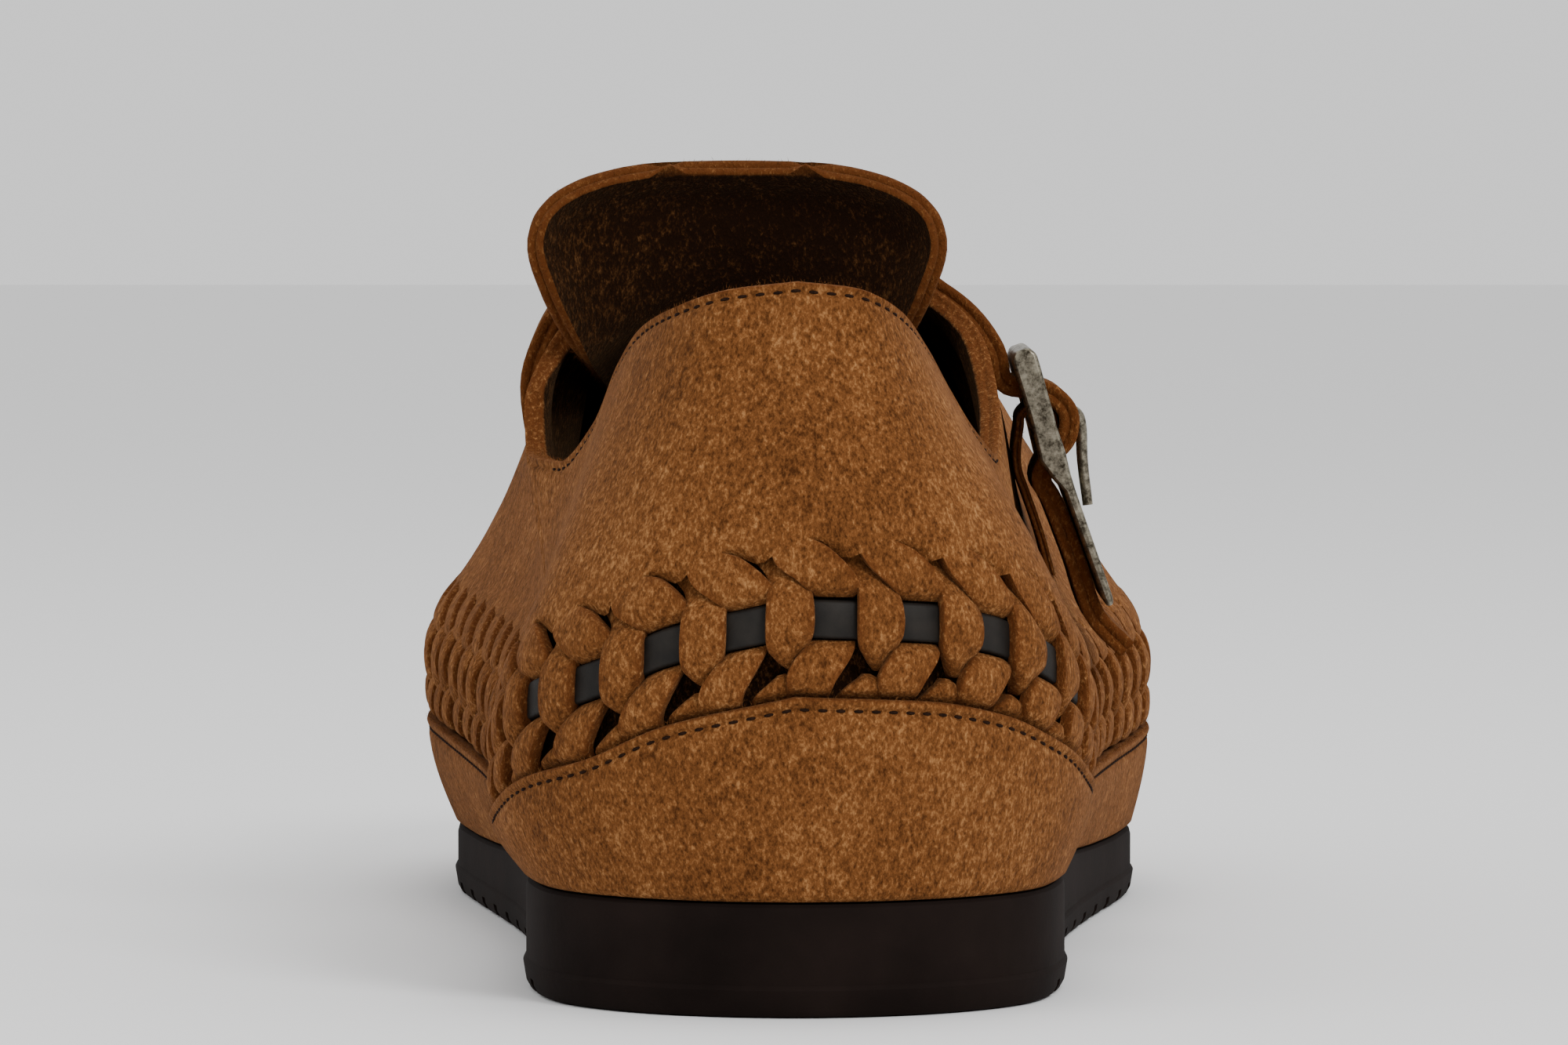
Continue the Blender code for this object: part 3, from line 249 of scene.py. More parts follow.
class Pattern:
    """Corners and faces of one piece; each corner is raw to a share at a cut edge and lined inside, where the
    lining tone paints shade.
    """

    def __init__(self):
        self.places = []
        self.raw = []
        self.lined_shade = []
        self.faces = []
        self.total = 0

    def corners(self, places, raw=0.0, lined_shade=0.0):
        places = np.asarray(places, float)
        shape = places.shape[:-1]
        count = int(np.prod(shape))
        index = np.arange(self.total, self.total + count).reshape(shape)
        self.places.append(places.reshape(-1, 3))
        self.raw.append(np.broadcast_to(raw, shape).reshape(-1))
        self.lined_shade.append(np.broadcast_to(lined_shade, shape).reshape(-1))
        self.total += count
        return index

    def skin(self, index, closed=False, inward=False):
        """Faces over a grid of corners, rows upward and columns to the right as seen from outside."""
        following = np.roll(index, -1, axis=1)
        quads = np.stack((index[:-1], following[:-1], following[1:], index[1:]), axis=-1)
        if not closed:
            quads = quads[:, :-1]
        if inward:
            quads = quads[..., ::-1]
        self.faces.extend(quads.reshape(-1, 4).tolist())

    def lid(self, ring, upward):
        """Faces that close a ring, by rungs from each corner to its partner on the other side."""
        count = len(ring)
        quads = []
        for i in range(count // 2):
            quads.append((ring[i], ring[i + 1], ring[count - i - 1], ring[(count - i) % count]))
        self.faces.extend(quads if upward else [quad[::-1] for quad in quads])

    def piece(self, name, finish, crease):
        """The finished mesh object; edges that turn by more than the crease angle stay sharp."""
        mesh = bpy.data.meshes.new(name)
        distinct = [list(dict.fromkeys(int(i) for i in face)) for face in self.faces]
        places = np.concatenate(self.places)
        mesh.from_pydata(places.tolist(), [], [face for face in distinct if len(face) > 2])
        for mask, values in (("raw", self.raw), ("lined_shade", self.lined_shade)):
            mesh.attributes.new(mask, "FLOAT", "POINT").data.foreach_set("value", np.concatenate(values))
        mesh.materials.append(finish)
        mesh.shade_smooth()
        mesh.set_sharp_from_angle(angle=math.radians(crease))
        made = bpy.data.objects.new(name, mesh)
        bpy.context.scene.collection.objects.link(made)
        return made


def cut_grooves(piece):
    """Take the tread's edge grooves out of the sole."""
    sides = (OUTLINE[: TOE_INDEX + 1], OUTLINE[TOE_INDEX:])
    cutter = Pattern()
    count = int((TREAD_END - TREAD_START) * LENGTH / TREAD_PITCH)
    for edge in sides:
        for k in range(count + 1):
            y = TREAD_START * LENGTH + k * TREAD_PITCH - HEEL_TO_ORIGIN
            x = edge[np.argmin(np.abs(edge[:, 1] - y)), 0]
            middle = x - math.copysign(TREAD_LENGTH / 2 - TREAD_DEPTH, x)
            half = np.array((TREAD_LENGTH / 2, TREAD_WIDTH / 2))
            ring = np.array([(middle, y) + half * turn for turn in ((-1, -1), (1, -1), (1, 1), (-1, 1))])
            rows = [with_height(ring, floor_height(y) + z) for z in (-TREAD_DEPTH, TREAD_DEPTH)]
            index = cutter.corners(np.array(rows))
            cutter.skin(index, closed=True)
            cutter.faces.append(index[0][::-1])
            cutter.faces.append(index[1])
    tool = cutter.piece("groove_cutter", piece.data.materials[0], SOLE_CREASE)
    groove = piece.modifiers.new("grooves", "BOOLEAN")
    groove.operation = "DIFFERENCE"
    groove.solver = "EXACT"
    groove.object = tool
    shaped = piece.evaluated_get(bpy.context.evaluated_depsgraph_get())
    piece.data = bpy.data.meshes.new_from_object(shaped)
    piece.modifiers.clear()
    bpy.data.objects.remove(tool)
    piece.data.shade_smooth()
    piece.data.set_sharp_from_angle(angle=math.radians(SOLE_CREASE))


def join(tree, node, socket, source, output=0):
    """Link one node's output to a named or numbered input of another."""
    tree.links.new(source.outputs[output], node.inputs[socket])


def noise(tree, size, detail, roughness=0.6, stretch=(1.0, 1.0, 1.0), lean=0.0):
    """Noise whose features are about this size in metres, drawn out and leaned as asked."""
    place = tree.nodes.new("ShaderNodeTexCoord")
    mapping = tree.nodes.new("ShaderNodeMapping")
    mapping.inputs["Rotation"].default_value = (0.0, lean, 0.0)
    mapping.inputs["Scale"].default_value = stretch
    made = tree.nodes.new("ShaderNodeTexNoise")
    made.inputs["Scale"].default_value = 1.0 / size
    made.inputs["Detail"].default_value = detail
    made.inputs["Roughness"].default_value = roughness
    tree.links.new(place.outputs["Object"], mapping.inputs["Vector"])
    tree.links.new(mapping.outputs["Vector"], made.inputs["Vector"])
    return made


def ramp(tree, source, output, stops):
    """A colour ramp over a source; stops are (place, colour)."""
    made = tree.nodes.new("ShaderNodeValToRGB")
    stripe = made.color_ramp
    while len(stripe.elements) < len(stops):
        stripe.elements.new(0.5)
    for element, (place, color) in zip(stripe.elements, stops):
        element.position = place
        element.color = (*color, 1.0)
    join(tree, made, "Fac", source, output)
    return made


def bump(tree, shader, source, output, distance, strength):
    """Relief on a shader's surface by the height of a source."""
    made = tree.nodes.new("ShaderNodeBump")
    made.inputs["Distance"].default_value = distance
    made.inputs["Strength"].default_value = strength
    join(tree, made, "Height", source, output)
    join(tree, shader, "Normal", made, "Normal")


foam, tree, shader = plain_material("foam_rubber", (0.008, 0.0048, 0.0038), 0.85)
shader.inputs["Specular IOR Level"].default_value = 0.06
foam_cells = noise(tree, 0.0009, 4.0)
foam_clouds = noise(tree, 0.018, 3.0)
join(tree, shader, "Base Color", ramp(tree, foam_clouds, "Fac", (
    (0.30, (0.0058, 0.0034, 0.0027)),
    (0.70, (0.0115, 0.0070, 0.0056)),
)))
bump(tree, shader, foam_cells, "Fac", 0.00012, 0.35)

around_sole = np.arange(SOLE_COLUMNS) / SOLE_COLUMNS
sole_y = plan(around_sole)[:, 1]
sole_rows = [with_height(plan(around_sole, out), floor_height(sole_y) + z) for z, out in SOLE_FOOT_ROWS]
for k, (height, out) in enumerate(SOLE_TOP_ROWS):
    level = floor_height(sole_y) + height if k == 0 else sole_top(sole_y) - height
    if k == 1:
        level = (floor_height(sole_y) + sole_top(sole_y)) / 2
    sole_rows.append(with_height(plan(around_sole, out), level))
sole_pattern = Pattern()
sole_index = sole_pattern.corners(np.array(sole_rows))
sole_pattern.skin(sole_index, closed=True)
sole_pattern.lid(sole_index[0], False)
sole_pattern.lid(sole_index[-1], True)
outsole = sole_pattern.piece("outsole_foam", foam, SOLE_CREASE)
cut_grooves(outsole)
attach(outsole, "root")
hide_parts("outsole")

# Footbed wrap
# The cork footbed's side is covered in napped suede, glued down over the sole's edge. The suede stands up
# as a foxing round the upper, high at the heel and low at the sides, with one row of stitches under its
# raw top edge.
CLEARANCE = 0.0003
FOXING_HEEL_HEIGHT = 0.0410
FOXING_SIDE_HEIGHT = 0.0250
FOXING_THICKNESS = 0.0022
FOOTBED_CORE = 0.0040
SIDE_BULGE = 0.0045
FOXING_STITCH_DOWN = 0.0015
STITCH_PITCH = 0.0023
STITCH_LENGTH = 0.0014
STITCH_WIDTH = 0.00046
# A stitch from end to end: share of its length, and its width and rise as shares of the thread's width
STITCH_SECTION = (
    (-0.50, 0.25, -0.9), (-0.36, 0.85, 0.0), (0.0, 1.0, 0.45), (0.36, 0.85, 0.0), (0.50, 0.25, -0.9),
)
STITCH_SIDES = 6
STITCH_FEEL = 0.0006
STITCH_PINCH = 0.00038
PINCH_WIDTH = 0.00045
# Nap tones: the shade tone also paints shade in the nap's low spots and the tip tone paints highlight on its
# raised fibres
SUEDE_SHADE = (0.050, 0.0165, 0.0045)
SUEDE_BODY = (0.158, 0.0575, 0.0165)
SUEDE_TIP = (0.400, 0.1950, 0.0720)
SUEDE_RAW = (0.095, 0.0285, 0.0075)
# The lining tone, near-black: partly the lining's darker suede, partly painted shade inside the shoe
SUEDE_LINING_SHADE = (0.012, 0.0048, 0.0020)
SIDE_COLUMNS = ("way", "foxing_medial", "foxing_lateral", "bulge_medial", "bulge_lateral", "tuck")
SIDES = (
    (0.000, 1.00, 1.00, 0.70, 0.70, 0.30),
    (0.050, 0.76, 0.95, 0.78, 0.74, 0.34),
    (0.085, 0.47, 0.82, 0.90, 0.80, 0.42),
    (0.120, 0.30, 0.57, 1.00, 0.84, 0.50),
    (0.170, 0.02, 0.26, 1.06, 0.86, 0.62),
    (0.230, -0.20, 0.04, 1.04, 0.84, 0.74),
    (0.330, -0.22, -0.12, 1.00, 0.78, 0.86),
    (0.450, -0.10, -0.10, 1.00, 0.64, 0.96),
    (0.600, 0.02, -0.04, 1.00, 0.56, 1.00),
    (0.750, 0.12, 0.08, 0.96, 0.66, 1.00),
    (0.880, 0.26, 0.24, 0.90, 0.80, 1.00),
    (1.000, 0.38, 0.38, 0.86, 0.86, 1.00),
)
# Rows of the wrap's face: shares of the height, then distances below the top edge
WRAP_SHARES = (0.0, 0.015, 0.04, 0.10, 0.18, 0.28, 0.38, 0.48, 0.58, 0.68, 0.78)
WRAP_BELOW_EDGE = (0.0026, 0.0021, 0.0018, 0.0015, 0.0012, 0.0009, 0.0005, 0.0002)
# Over the wrap's raw top edge: distance below the top and depth behind the face
WRAP_EDGE = ((0.0, 0.0003), (-0.0001, 0.0009), (0.0, 0.0016), (0.0003, FOXING_THICKNESS))
WRAP_TUCK = 0.0006
WRAP_TUCK_SHARE = 0.04
WRAP_SWELL = 0.00018
SWELL_DOWN = 0.0006
SWELL_WIDTH = 0.0005
# How raw a face looks in the last row before its cut edge
EDGE_TINT = 0.7
NAP_RELIEF = 0.00042
NAP_STRENGTH = 0.9


def read(table, columns, name, share):
    """Value of the named column at shares, smooth between the rows and never past them."""
    xs = np.array([row[0] for row in table], float)
    ys = np.array([row[columns.index(name)] for row in table], float)
    steps = np.diff(ys) / np.diff(xs)
    product = steps[:-1] * steps[1:]
    slopes = np.concatenate((steps[:1], np.zeros(len(product)), steps[-1:]))
    agree = product > 0
    slopes[1:-1][agree] = 2 * product[agree] / (steps[:-1] + steps[1:])[agree]
    share = np.clip(share, xs[0], xs[-1])
    k = np.clip(np.searchsorted(xs, share) - 1, 0, len(xs) - 2)
    width = xs[k + 1] - xs[k]
    t = (share - xs[k]) / width
    rise = t * t * (3 - 2 * t)
    bend = slopes[k] * width * t * (1 - t) ** 2 - slopes[k + 1] * width * t * t * (1 - t)
    return ys[k] * (1 - rise) + ys[k + 1] * rise + bend


def half_way(u):
    """Share of the way from heel to toe, and whether it is on the outer side."""
    u = np.mod(u, 1.0)
    return np.where(u <= 0.5, 2 * u, 2 - 2 * u), u <= 0.5


def side(name, u):
    """Value of a column of the table of sides, for the side of the foot on which each place is."""
    way, lateral = half_way(u)
    if name == "tuck":
        return read(SIDES, SIDE_COLUMNS, name, way)
    outer, inner = (read(SIDES, SIDE_COLUMNS, name + end, way) for end in ("_lateral", "_medial"))
    return np.where(lateral, outer, inner)


def foxing_top(u):
    """Height of the foxing's top edge above the floor."""
    return FOXING_SIDE_HEIGHT + (FOXING_HEEL_HEIGHT - FOXING_SIDE_HEIGHT) * side("foxing", u)


def foxing_place(u, rise, out=0.0):
    """Outer face of the foxing, rise 0 at the sole's top edge and 1 at its own top edge."""
    bottom = sole_top(plan(u)[..., 1]) + CLEARANCE
    xy = plan(u, SIDE_BULGE * side("bulge", u) * np.sin(math.pi / 2 * np.clip(rise, 0.0, 1.0)) + out)
    return with_height(xy, bottom + (foxing_top(u) - bottom) * rise)


def margin_place(u, height, depth):
    """A place behind the foxing's face, at a height above the floor."""
    bottom = sole_top(plan(u)[..., 1]) + CLEARANCE
    rise = (height - bottom) / (foxing_top(u) - bottom)
    xy = plan(u, SIDE_BULGE * side("bulge", u) * np.sin(math.pi / 2 * np.clip(rise, 0.0, 1.0)) - depth)
    return with_height(xy, height)


def suede_nap_group():
    """Napped suede: short leaning fibres with painted shade and highlight, brushed patches, darker raw edges
    and a painted shade lining.
    """
    group = bpy.data.node_groups.new("suede_nap", "ShaderNodeTree")
    for socket in ("Shade", "Body", "Tip", "Raw Colour", "Lining Shade Colour"):
        group.interface.new_socket(socket, in_out="INPUT", socket_type="NodeSocketColor")
    for socket in ("Raw Edge", "Lined Shade"):
        group.interface.new_socket(socket, in_out="INPUT", socket_type="NodeSocketFloat")
    group.interface.new_socket("Colour", in_out="OUTPUT", socket_type="NodeSocketColor")
    group.interface.new_socket("Height", in_out="OUTPUT", socket_type="NodeSocketFloat")
    given = group.nodes.new("NodeGroupInput")
    made = group.nodes.new("NodeGroupOutput")
    fibres = noise(group, 0.00046, 3.0, 0.70, (1.0, 1.0, 0.60), 0.70)
    tufts = noise(group, 0.0013, 3.0, 0.65, (1.0, 1.0, 0.70), 0.70)
    brushed = noise(group, 0.020, 3.0, 0.60, (1.0, 1.0, 0.60), 0.35)

    def blend(factor, low, high):
        mix = group.nodes.new("ShaderNodeMix")
        mix.data_type = "RGBA"
        group.links.new(factor, mix.inputs["Factor"])
        group.links.new(low, mix.inputs["A"])
        group.links.new(high, mix.inputs["B"])
        return mix.outputs["Result"]

    def spread(source, low, high):
        span = group.nodes.new("ShaderNodeMapRange")
        span.inputs["From Min"].default_value = low
        span.inputs["From Max"].default_value = high
        group.links.new(source, span.inputs["Value"])
        return span.outputs["Result"]

    def add(first, second, weight):
        total = group.nodes.new("ShaderNodeMath")
        total.operation = "MULTIPLY_ADD"
        group.links.new(second, total.inputs[0])
        total.inputs[1].default_value = weight
        group.links.new(first, total.inputs[2])
        return total.outputs[0]

    # The fibres' tone follows the noise of their relief: painted shade in its low spots, painted highlight on
    # its raised tips
    lie = add(add(fibres.outputs["Fac"], tufts.outputs["Fac"], 0.50), brushed.outputs["Fac"], 0.35)
    frayed = spread(fibres.outputs["Fac"], 0.30, 0.72)
    color = blend(spread(lie, 0.70, 0.97), given.outputs["Shade"], given.outputs["Body"])
    color = blend(spread(lie, 0.97, 1.28), color, given.outputs["Tip"])
    torn = blend(frayed, given.outputs["Raw Colour"], color)
    color = blend(given.outputs["Raw Edge"], color, blend(frayed, given.outputs["Raw Colour"], torn))
    # Lined corners take the lining tone: partly the lining's darker suede, partly painted shade of the shoe's
    # inside
    lining = blend(spread(lie, 0.90, 1.70), given.outputs["Lining Shade Colour"], color)
    color = blend(given.outputs["Lined Shade"], color, lining)
    group.links.new(color, made.inputs["Colour"])
    group.links.new(add(fibres.outputs["Fac"], tufts.outputs["Fac"], 0.8), made.inputs["Height"])
    return group


SUEDE_NAP = suede_nap_group()


def suede(name, shade=SUEDE_SHADE, body=SUEDE_BODY, tip=SUEDE_TIP):
    """Napped suede of one tone, with its sheen, the fuzz of its raw edges and the lining tone's painted shade
    on lined corners.
    """
    finish, tree, shader = plain_material(name, body, 0.95)
    shader.inputs["Specular IOR Level"].default_value = 0.04
    shader.inputs["Sheen Weight"].default_value = 0.07
    shader.inputs["Sheen Roughness"].default_value = 0.40
    shader.inputs["Sheen Tint"].default_value = (0.90, 0.55, 0.28, 1.0)
    nap = tree.nodes.new("ShaderNodeGroup")
    nap.node_tree = SUEDE_NAP
    tones = {"Shade": shade, "Body": body, "Tip": tip, "Raw Colour": SUEDE_RAW, "Lining Shade Colour": SUEDE_LINING_SHADE}
    for socket, color in tones.items():
        nap.inputs[socket].default_value = (*color, 1.0)
    for socket, mask in (("Raw Edge", "raw"), ("Lined Shade", "lined_shade")):
        edge = tree.nodes.new("ShaderNodeAttribute")
        edge.attribute_name = mask
        join(tree, nap, socket, edge, "Fac")
    join(tree, shader, "Base Color", nap, "Colour")
    bump(tree, shader, nap, "Height", NAP_RELIEF, NAP_STRENGTH)
    return finish


def thread_material(name, color):
    """Waxed thread, painted darker where its relief is low: painted shade between its twisted strands."""
    finish, tree, shader = plain_material(name, color, 0.8)
    shader.inputs["Specular IOR Level"].default_value = 0.08
    twist = noise(tree, 0.0004, 2.0, lean=0.7)
    join(tree, shader, "Base Color", ramp(tree, twist, "Fac", (
        (0.30, tuple(0.55 * c for c in color)),
        (0.75, tuple(1.5 * c for c in color)),
    )))
    bump(tree, shader, twist, "Fac", 0.0001, 0.6)
    return finish


def sew(pattern, path, facing, closed=False):
    """A row of stitches along a path, each sunk at its ends, on a surface that faces as given."""
    line = np.concatenate((path, path[:1])) if closed else path
    faces = np.concatenate((facing, facing[:1])) if closed else facing
    reach = reach_along(line)
    count = int(reach[-1] / STITCH_PITCH)
    at = (np.arange(count) + 0.5) * reach[-1] / count
    middle = at_reach(line, reach, at)
    run = unit_vector(at_reach(line, reach, at + STITCH_FEEL) - at_reach(line, reach, at - STITCH_FEEL))
    up = unit_vector(at_reach(faces, reach, at))
    across = np.cross(up, run)
    rings = []
    for share, width, rise in STITCH_SECTION:
        for k in range(STITCH_SIDES):
            angle = 2 * math.pi * k / STITCH_SIDES
            offset = run * share * STITCH_LENGTH
            offset = offset + (across * math.cos(angle) + up * math.sin(angle)) * width * STITCH_WIDTH / 2
            rings.append(middle + offset + up * rise * STITCH_WIDTH / 2)
    index = pattern.corners(np.stack(rings, axis=1).reshape(count, len(STITCH_SECTION), STITCH_SIDES, 3))
    for stitch in index:
        pattern.skin(stitch, closed=True)
        pattern.faces.append(stitch[0][::-1])
        pattern.faces.append(stitch[-1])


FRAY_PER_METRE = 3600
FRAY_LENGTH = 0.00075
FRAY_WIDTH = 0.00007
FRAY_SPREAD = 0.55
FRAY_SCATTER = 0.00018
FRAY_ROOTED = 0.2
FRAY_SHORTEST = 0.5
FRAY_LONGEST = 1.2
FRAY_TINT = 0.2
FRAY_CORNERS = (0.0, 2.1, 4.2)
fray_hand = np.random.RandomState(11)


def fray(pattern, path, out):
    """Short loose fibres that stand out of a raw edge along a path."""
    reach = reach_along(path)
    count = int(reach[-1] * FRAY_PER_METRE)
    at = fray_hand.uniform(0.0, reach[-1], count)
    root = at_reach(path, reach, at)
    away = at_reach(out, reach, at)
    lie = unit_vector(unit_vector(away) + fray_hand.normal(0.0, FRAY_SPREAD, (count, 3)))
    root = root + fray_hand.normal(0.0, FRAY_SCATTER, (count, 3)) - lie * FRAY_LENGTH * FRAY_ROOTED
    across = unit_vector(np.cross(lie, fray_hand.normal(0.0, 1.0, (count, 3))))
    over = np.cross(lie, across)
    foot = [root + (across * math.cos(a) + over * math.sin(a)) * FRAY_WIDTH / 2 for a in FRAY_CORNERS]
    tip = root + lie * (FRAY_LENGTH * fray_hand.uniform(FRAY_SHORTEST, FRAY_LONGEST, count))[:, None]
    index = pattern.corners(np.stack(foot + [tip], axis=1), FRAY_TINT)
    for a, b, c, point in index.tolist():
        pattern.faces.extend(((a, b, point), (b, c, point), (c, a, point), (a, c, b)))


def stitch_pinch(below, stitches_down):
    """How far the stitches pull the suede in, at a distance below its edge."""
    return STITCH_PINCH * math.exp(-(((below - stitches_down) / PINCH_WIDTH) ** 2))


WRAP_COLUMNS = 600
around_wrap = np.arange(WRAP_COLUMNS) / WRAP_COLUMNS
wrap_height = foxing_top(around_wrap) - sole_top(plan(around_wrap)[:, 1]) - CLEARANCE
wrap_rows = []
for share in WRAP_SHARES:
    tucked = WRAP_TUCK * max(0.0, 1 - share / WRAP_TUCK_SHARE) ** 2
    wrap_rows.append(foxing_place(around_wrap, np.full(WRAP_COLUMNS, share), -tucked))
for below in WRAP_BELOW_EDGE:
    swell = WRAP_SWELL * math.exp(-(((below - SWELL_DOWN) / SWELL_WIDTH) ** 2))
    out = swell - stitch_pinch(below, FOXING_STITCH_DOWN)
    wrap_rows.append(foxing_place(around_wrap, 1 - below / wrap_height, out))
wrap_pattern = Pattern()
wrap_tint = np.zeros((len(wrap_rows), WRAP_COLUMNS))
wrap_tint[-1] = EDGE_TINT
wrap_index = wrap_pattern.corners(np.array(wrap_rows), wrap_tint)
wrap_top = foxing_top(around_wrap)
wrap_bed = sole_top(plan(around_wrap)[:, 1]) + CLEARANCE + FOOTBED_CORE
edge_rows = [margin_place(around_wrap, wrap_top - drop, depth) for drop, depth in WRAP_EDGE]
edge_index = wrap_pattern.corners(np.array(edge_rows), 1.0)
bed_index = wrap_pattern.corners(margin_place(around_wrap, wrap_bed, FOXING_THICKNESS)[None])
wrap_index = np.concatenate((wrap_index, edge_index, bed_index))
wrap_pattern.skin(wrap_index, closed=True)
wrap_pattern.lid(wrap_index[0], False)
wrap_pattern.lid(wrap_index[-1], True)
wrap_outward = with_height(plan(around_wrap, 1.0) - plan(around_wrap), 0.0)
fray(wrap_pattern, edge_rows[0], wrap_outward * 0.5 + (0.0, 0.0, 1.0))
wrap = wrap_pattern.piece("footbed_suede", suede("footbed_suede"), 50)
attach(wrap, "root")
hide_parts("footbed_wrap")

dark_thread = thread_material("dark_thread", (0.014, 0.0055, 0.0025))
stitch_row = wrap_rows[len(WRAP_SHARES) + WRAP_BELOW_EDGE.index(FOXING_STITCH_DOWN)]
foxing_thread = Pattern()
sew(foxing_thread, stitch_row, wrap_outward, closed=True)
foxing_stitches = foxing_thread.piece("foxing_stitches", dark_thread, 80)
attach(foxing_stitches, "root")

# Insole
# The footbed's top: cork under a thin brown suede lining, cupped at the heel and along its rim.
INSOLE_THICKNESS = 0.0055
INSOLE_CUP = 0.0030
BRAID_WALL = 0.0045
# From the rim inward: how far in, and the height as shares of the thickness and of the cup
INSOLE_SECTION = (
    (0.0, 0.0, 0.0), (0.0, 0.75, 1.0), (0.0004, 0.92, 1.0), (0.0012, 1.0, 1.0),
    (0.0030, 1.0, 0.86), (0.0055, 1.0, 0.58), (0.0080, 1.0, 0.35), (0.0120, 1.0, 0.14), (0.0170, 1.0, 0.0),
)
INSOLE_COLUMNS = 300
around_insole = np.arange(INSOLE_COLUMNS) / INSOLE_COLUMNS
insole_floor = sole_top(plan(around_insole)[:, 1]) + FOOTBED_CORE + 2 * CLEARANCE
insole_rows = []
for inward, thickness, cup in INSOLE_SECTION:
    rise = thickness * INSOLE_THICKNESS + cup * INSOLE_CUP
    insole_rows.append(margin_place(around_insole, insole_floor + rise, BRAID_WALL + 3 * CLEARANCE + inward))
insole_pattern = Pattern()
insole_index = insole_pattern.corners(np.array(insole_rows))
insole_pattern.skin(insole_index, closed=True)
insole_pattern.lid(insole_index[0], False)
insole_pattern.lid(insole_index[-1], True)
insole_suede = suede("insole_suede", (0.024, 0.010, 0.004), (0.060, 0.027, 0.011), (0.12, 0.062, 0.028))
insole = insole_pattern.piece("insole_suede", insole_suede, 50)
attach(insole, "root")
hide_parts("insole")

# Upper
# One piece of thick napped suede lined with its own kind: counter, quarters and vamp. Its lower edge is
# slit into leaves that lean to the right, lie over the braid and tuck in behind the lace. The collar's
# edge is cut raw through both layers, and one row of stitches follows it round the heel.
WALL = 0.0028
COUNTER_HEIGHT = 0.0932
INSTEP_HEIGHT = 0.0970
BRAID_HEIGHT = 0.0200
BRAID_TUCK = 0.0042
BRAID_UNITS = 60
TUCK_START = 0.45
ARCH_START = 0.34
COLLAR_LEAN = (0.8, 0.5, 1.0)
TOE_TURN = 0.55
TOE_RISE = 0.12
QUARTER_PULL = (0.33, 0.33)
VAMP_PULL = (0.39, 0.50)
THROAT_WAY = 0.5
COLLAR_COLUMNS = ("way", "across", "along", "up")
COLLAR_LATERAL = (
    (0.000, 0.010, 0.029, 1.000),
    (0.038, 0.170, 0.034, 0.990),
    (0.076, 0.275, 0.062, 0.960),
    (0.120, 0.346, 0.118, 0.908),
    (0.165, 0.414, 0.170, 0.842),
    (0.210, 0.480, 0.214, 0.784),
    (0.260, 0.545, 0.258, 0.742),
    (0.310, 0.560, 0.312, 0.806),
    (0.350, 0.535, 0.352, 0.886),
    (0.394, 0.445, 0.378, 0.954),
    (0.444, 0.200, 0.402, 1.016),
    (0.500, -0.140, 0.415, 1.041),
)
COLLAR_MEDIAL = (
    (0.000, 0.010, 0.029, 1.000),
    (0.038, -0.175, 0.034, 0.988),
    (0.076, -0.300, 0.058, 0.966),
    (0.120, -0.396, 0.108, 0.934),
    (0.165, -0.462, 0.158, 0.880),
    (0.210, -0.535, 0.220, 0.790),
    (0.260, -0.640, 0.282, 0.728),
    (0.310, -0.725, 0.330, 0.734),
    (0.350, -0.740, 0.357, 0.804),
    (0.394, -0.690, 0.372, 0.880),
    (0.444, -0.510, 0.394, 0.972),
    (0.500, -0.140, 0.415, 1.041),
)
CREST = (
    (0.0, -0.14, 0.415, 1.000),
    (0.2, -0.16, 0.497, 0.952),
    (0.4, -0.18, 0.594, 0.870),
    (0.6, -0.19, 0.692, 0.775),
    (0.8, -0.20, 0.780, 0.700),
    (1.0, -0.21, 0.850, 0.655),
)
# The root line of the leaves: each column's place along the unit as a share of the pitch, its height
# above the lace's middle and its depth behind the strips' faces. The first seven are a leaf's own root
UNIT_MIDDLE = 0.45
ROOT_PLACES = (-0.71, -0.643, -0.577, -0.51, -0.443, -0.377, -0.31, -0.21, -0.11, -0.01, 0.09, 0.19)
ROOT_HEIGHTS = (
    0.0085, 0.0090, 0.0094, 0.00975, 0.0100, 0.0102, 0.0103, 0.0098, 0.0092, 0.0085, 0.0079, 0.0079,
)
ROOT_DEPTHS = (0.0, 0.0, 0.0, 0.0, 0.0, 0.0, 0.0, 0.0009, 0.0011, 0.0013, 0.0014, 0.0010)
UNIT_COLUMNS = len(ROOT_PLACES)
PITCH = 0.010
MILLIMETRE = 0.001
# Every strip's face has this many cells across and steps from station to station, and is raw at its sides
LEAF_CELLS = 6
STRIP_STEPS = 3
RAW_FACE = np.array((0.75, 0.12, 0.0, 0.0, 0.0, 0.12, 0.75))
STRIP_THICKNESS = 0.0017
# A strip's cut side: depth as a share of the thickness, and how far it stands out there
STRIP_SIDE = ((0.25, 0.00012), (1.0, -0.00010))
# A strip lies freely from this station on, off its even place by up to this along, up and in depth
STRIP_FREE = 1.5
STRIP_SLACK = (0.00022, 0.00018, 0.00022)
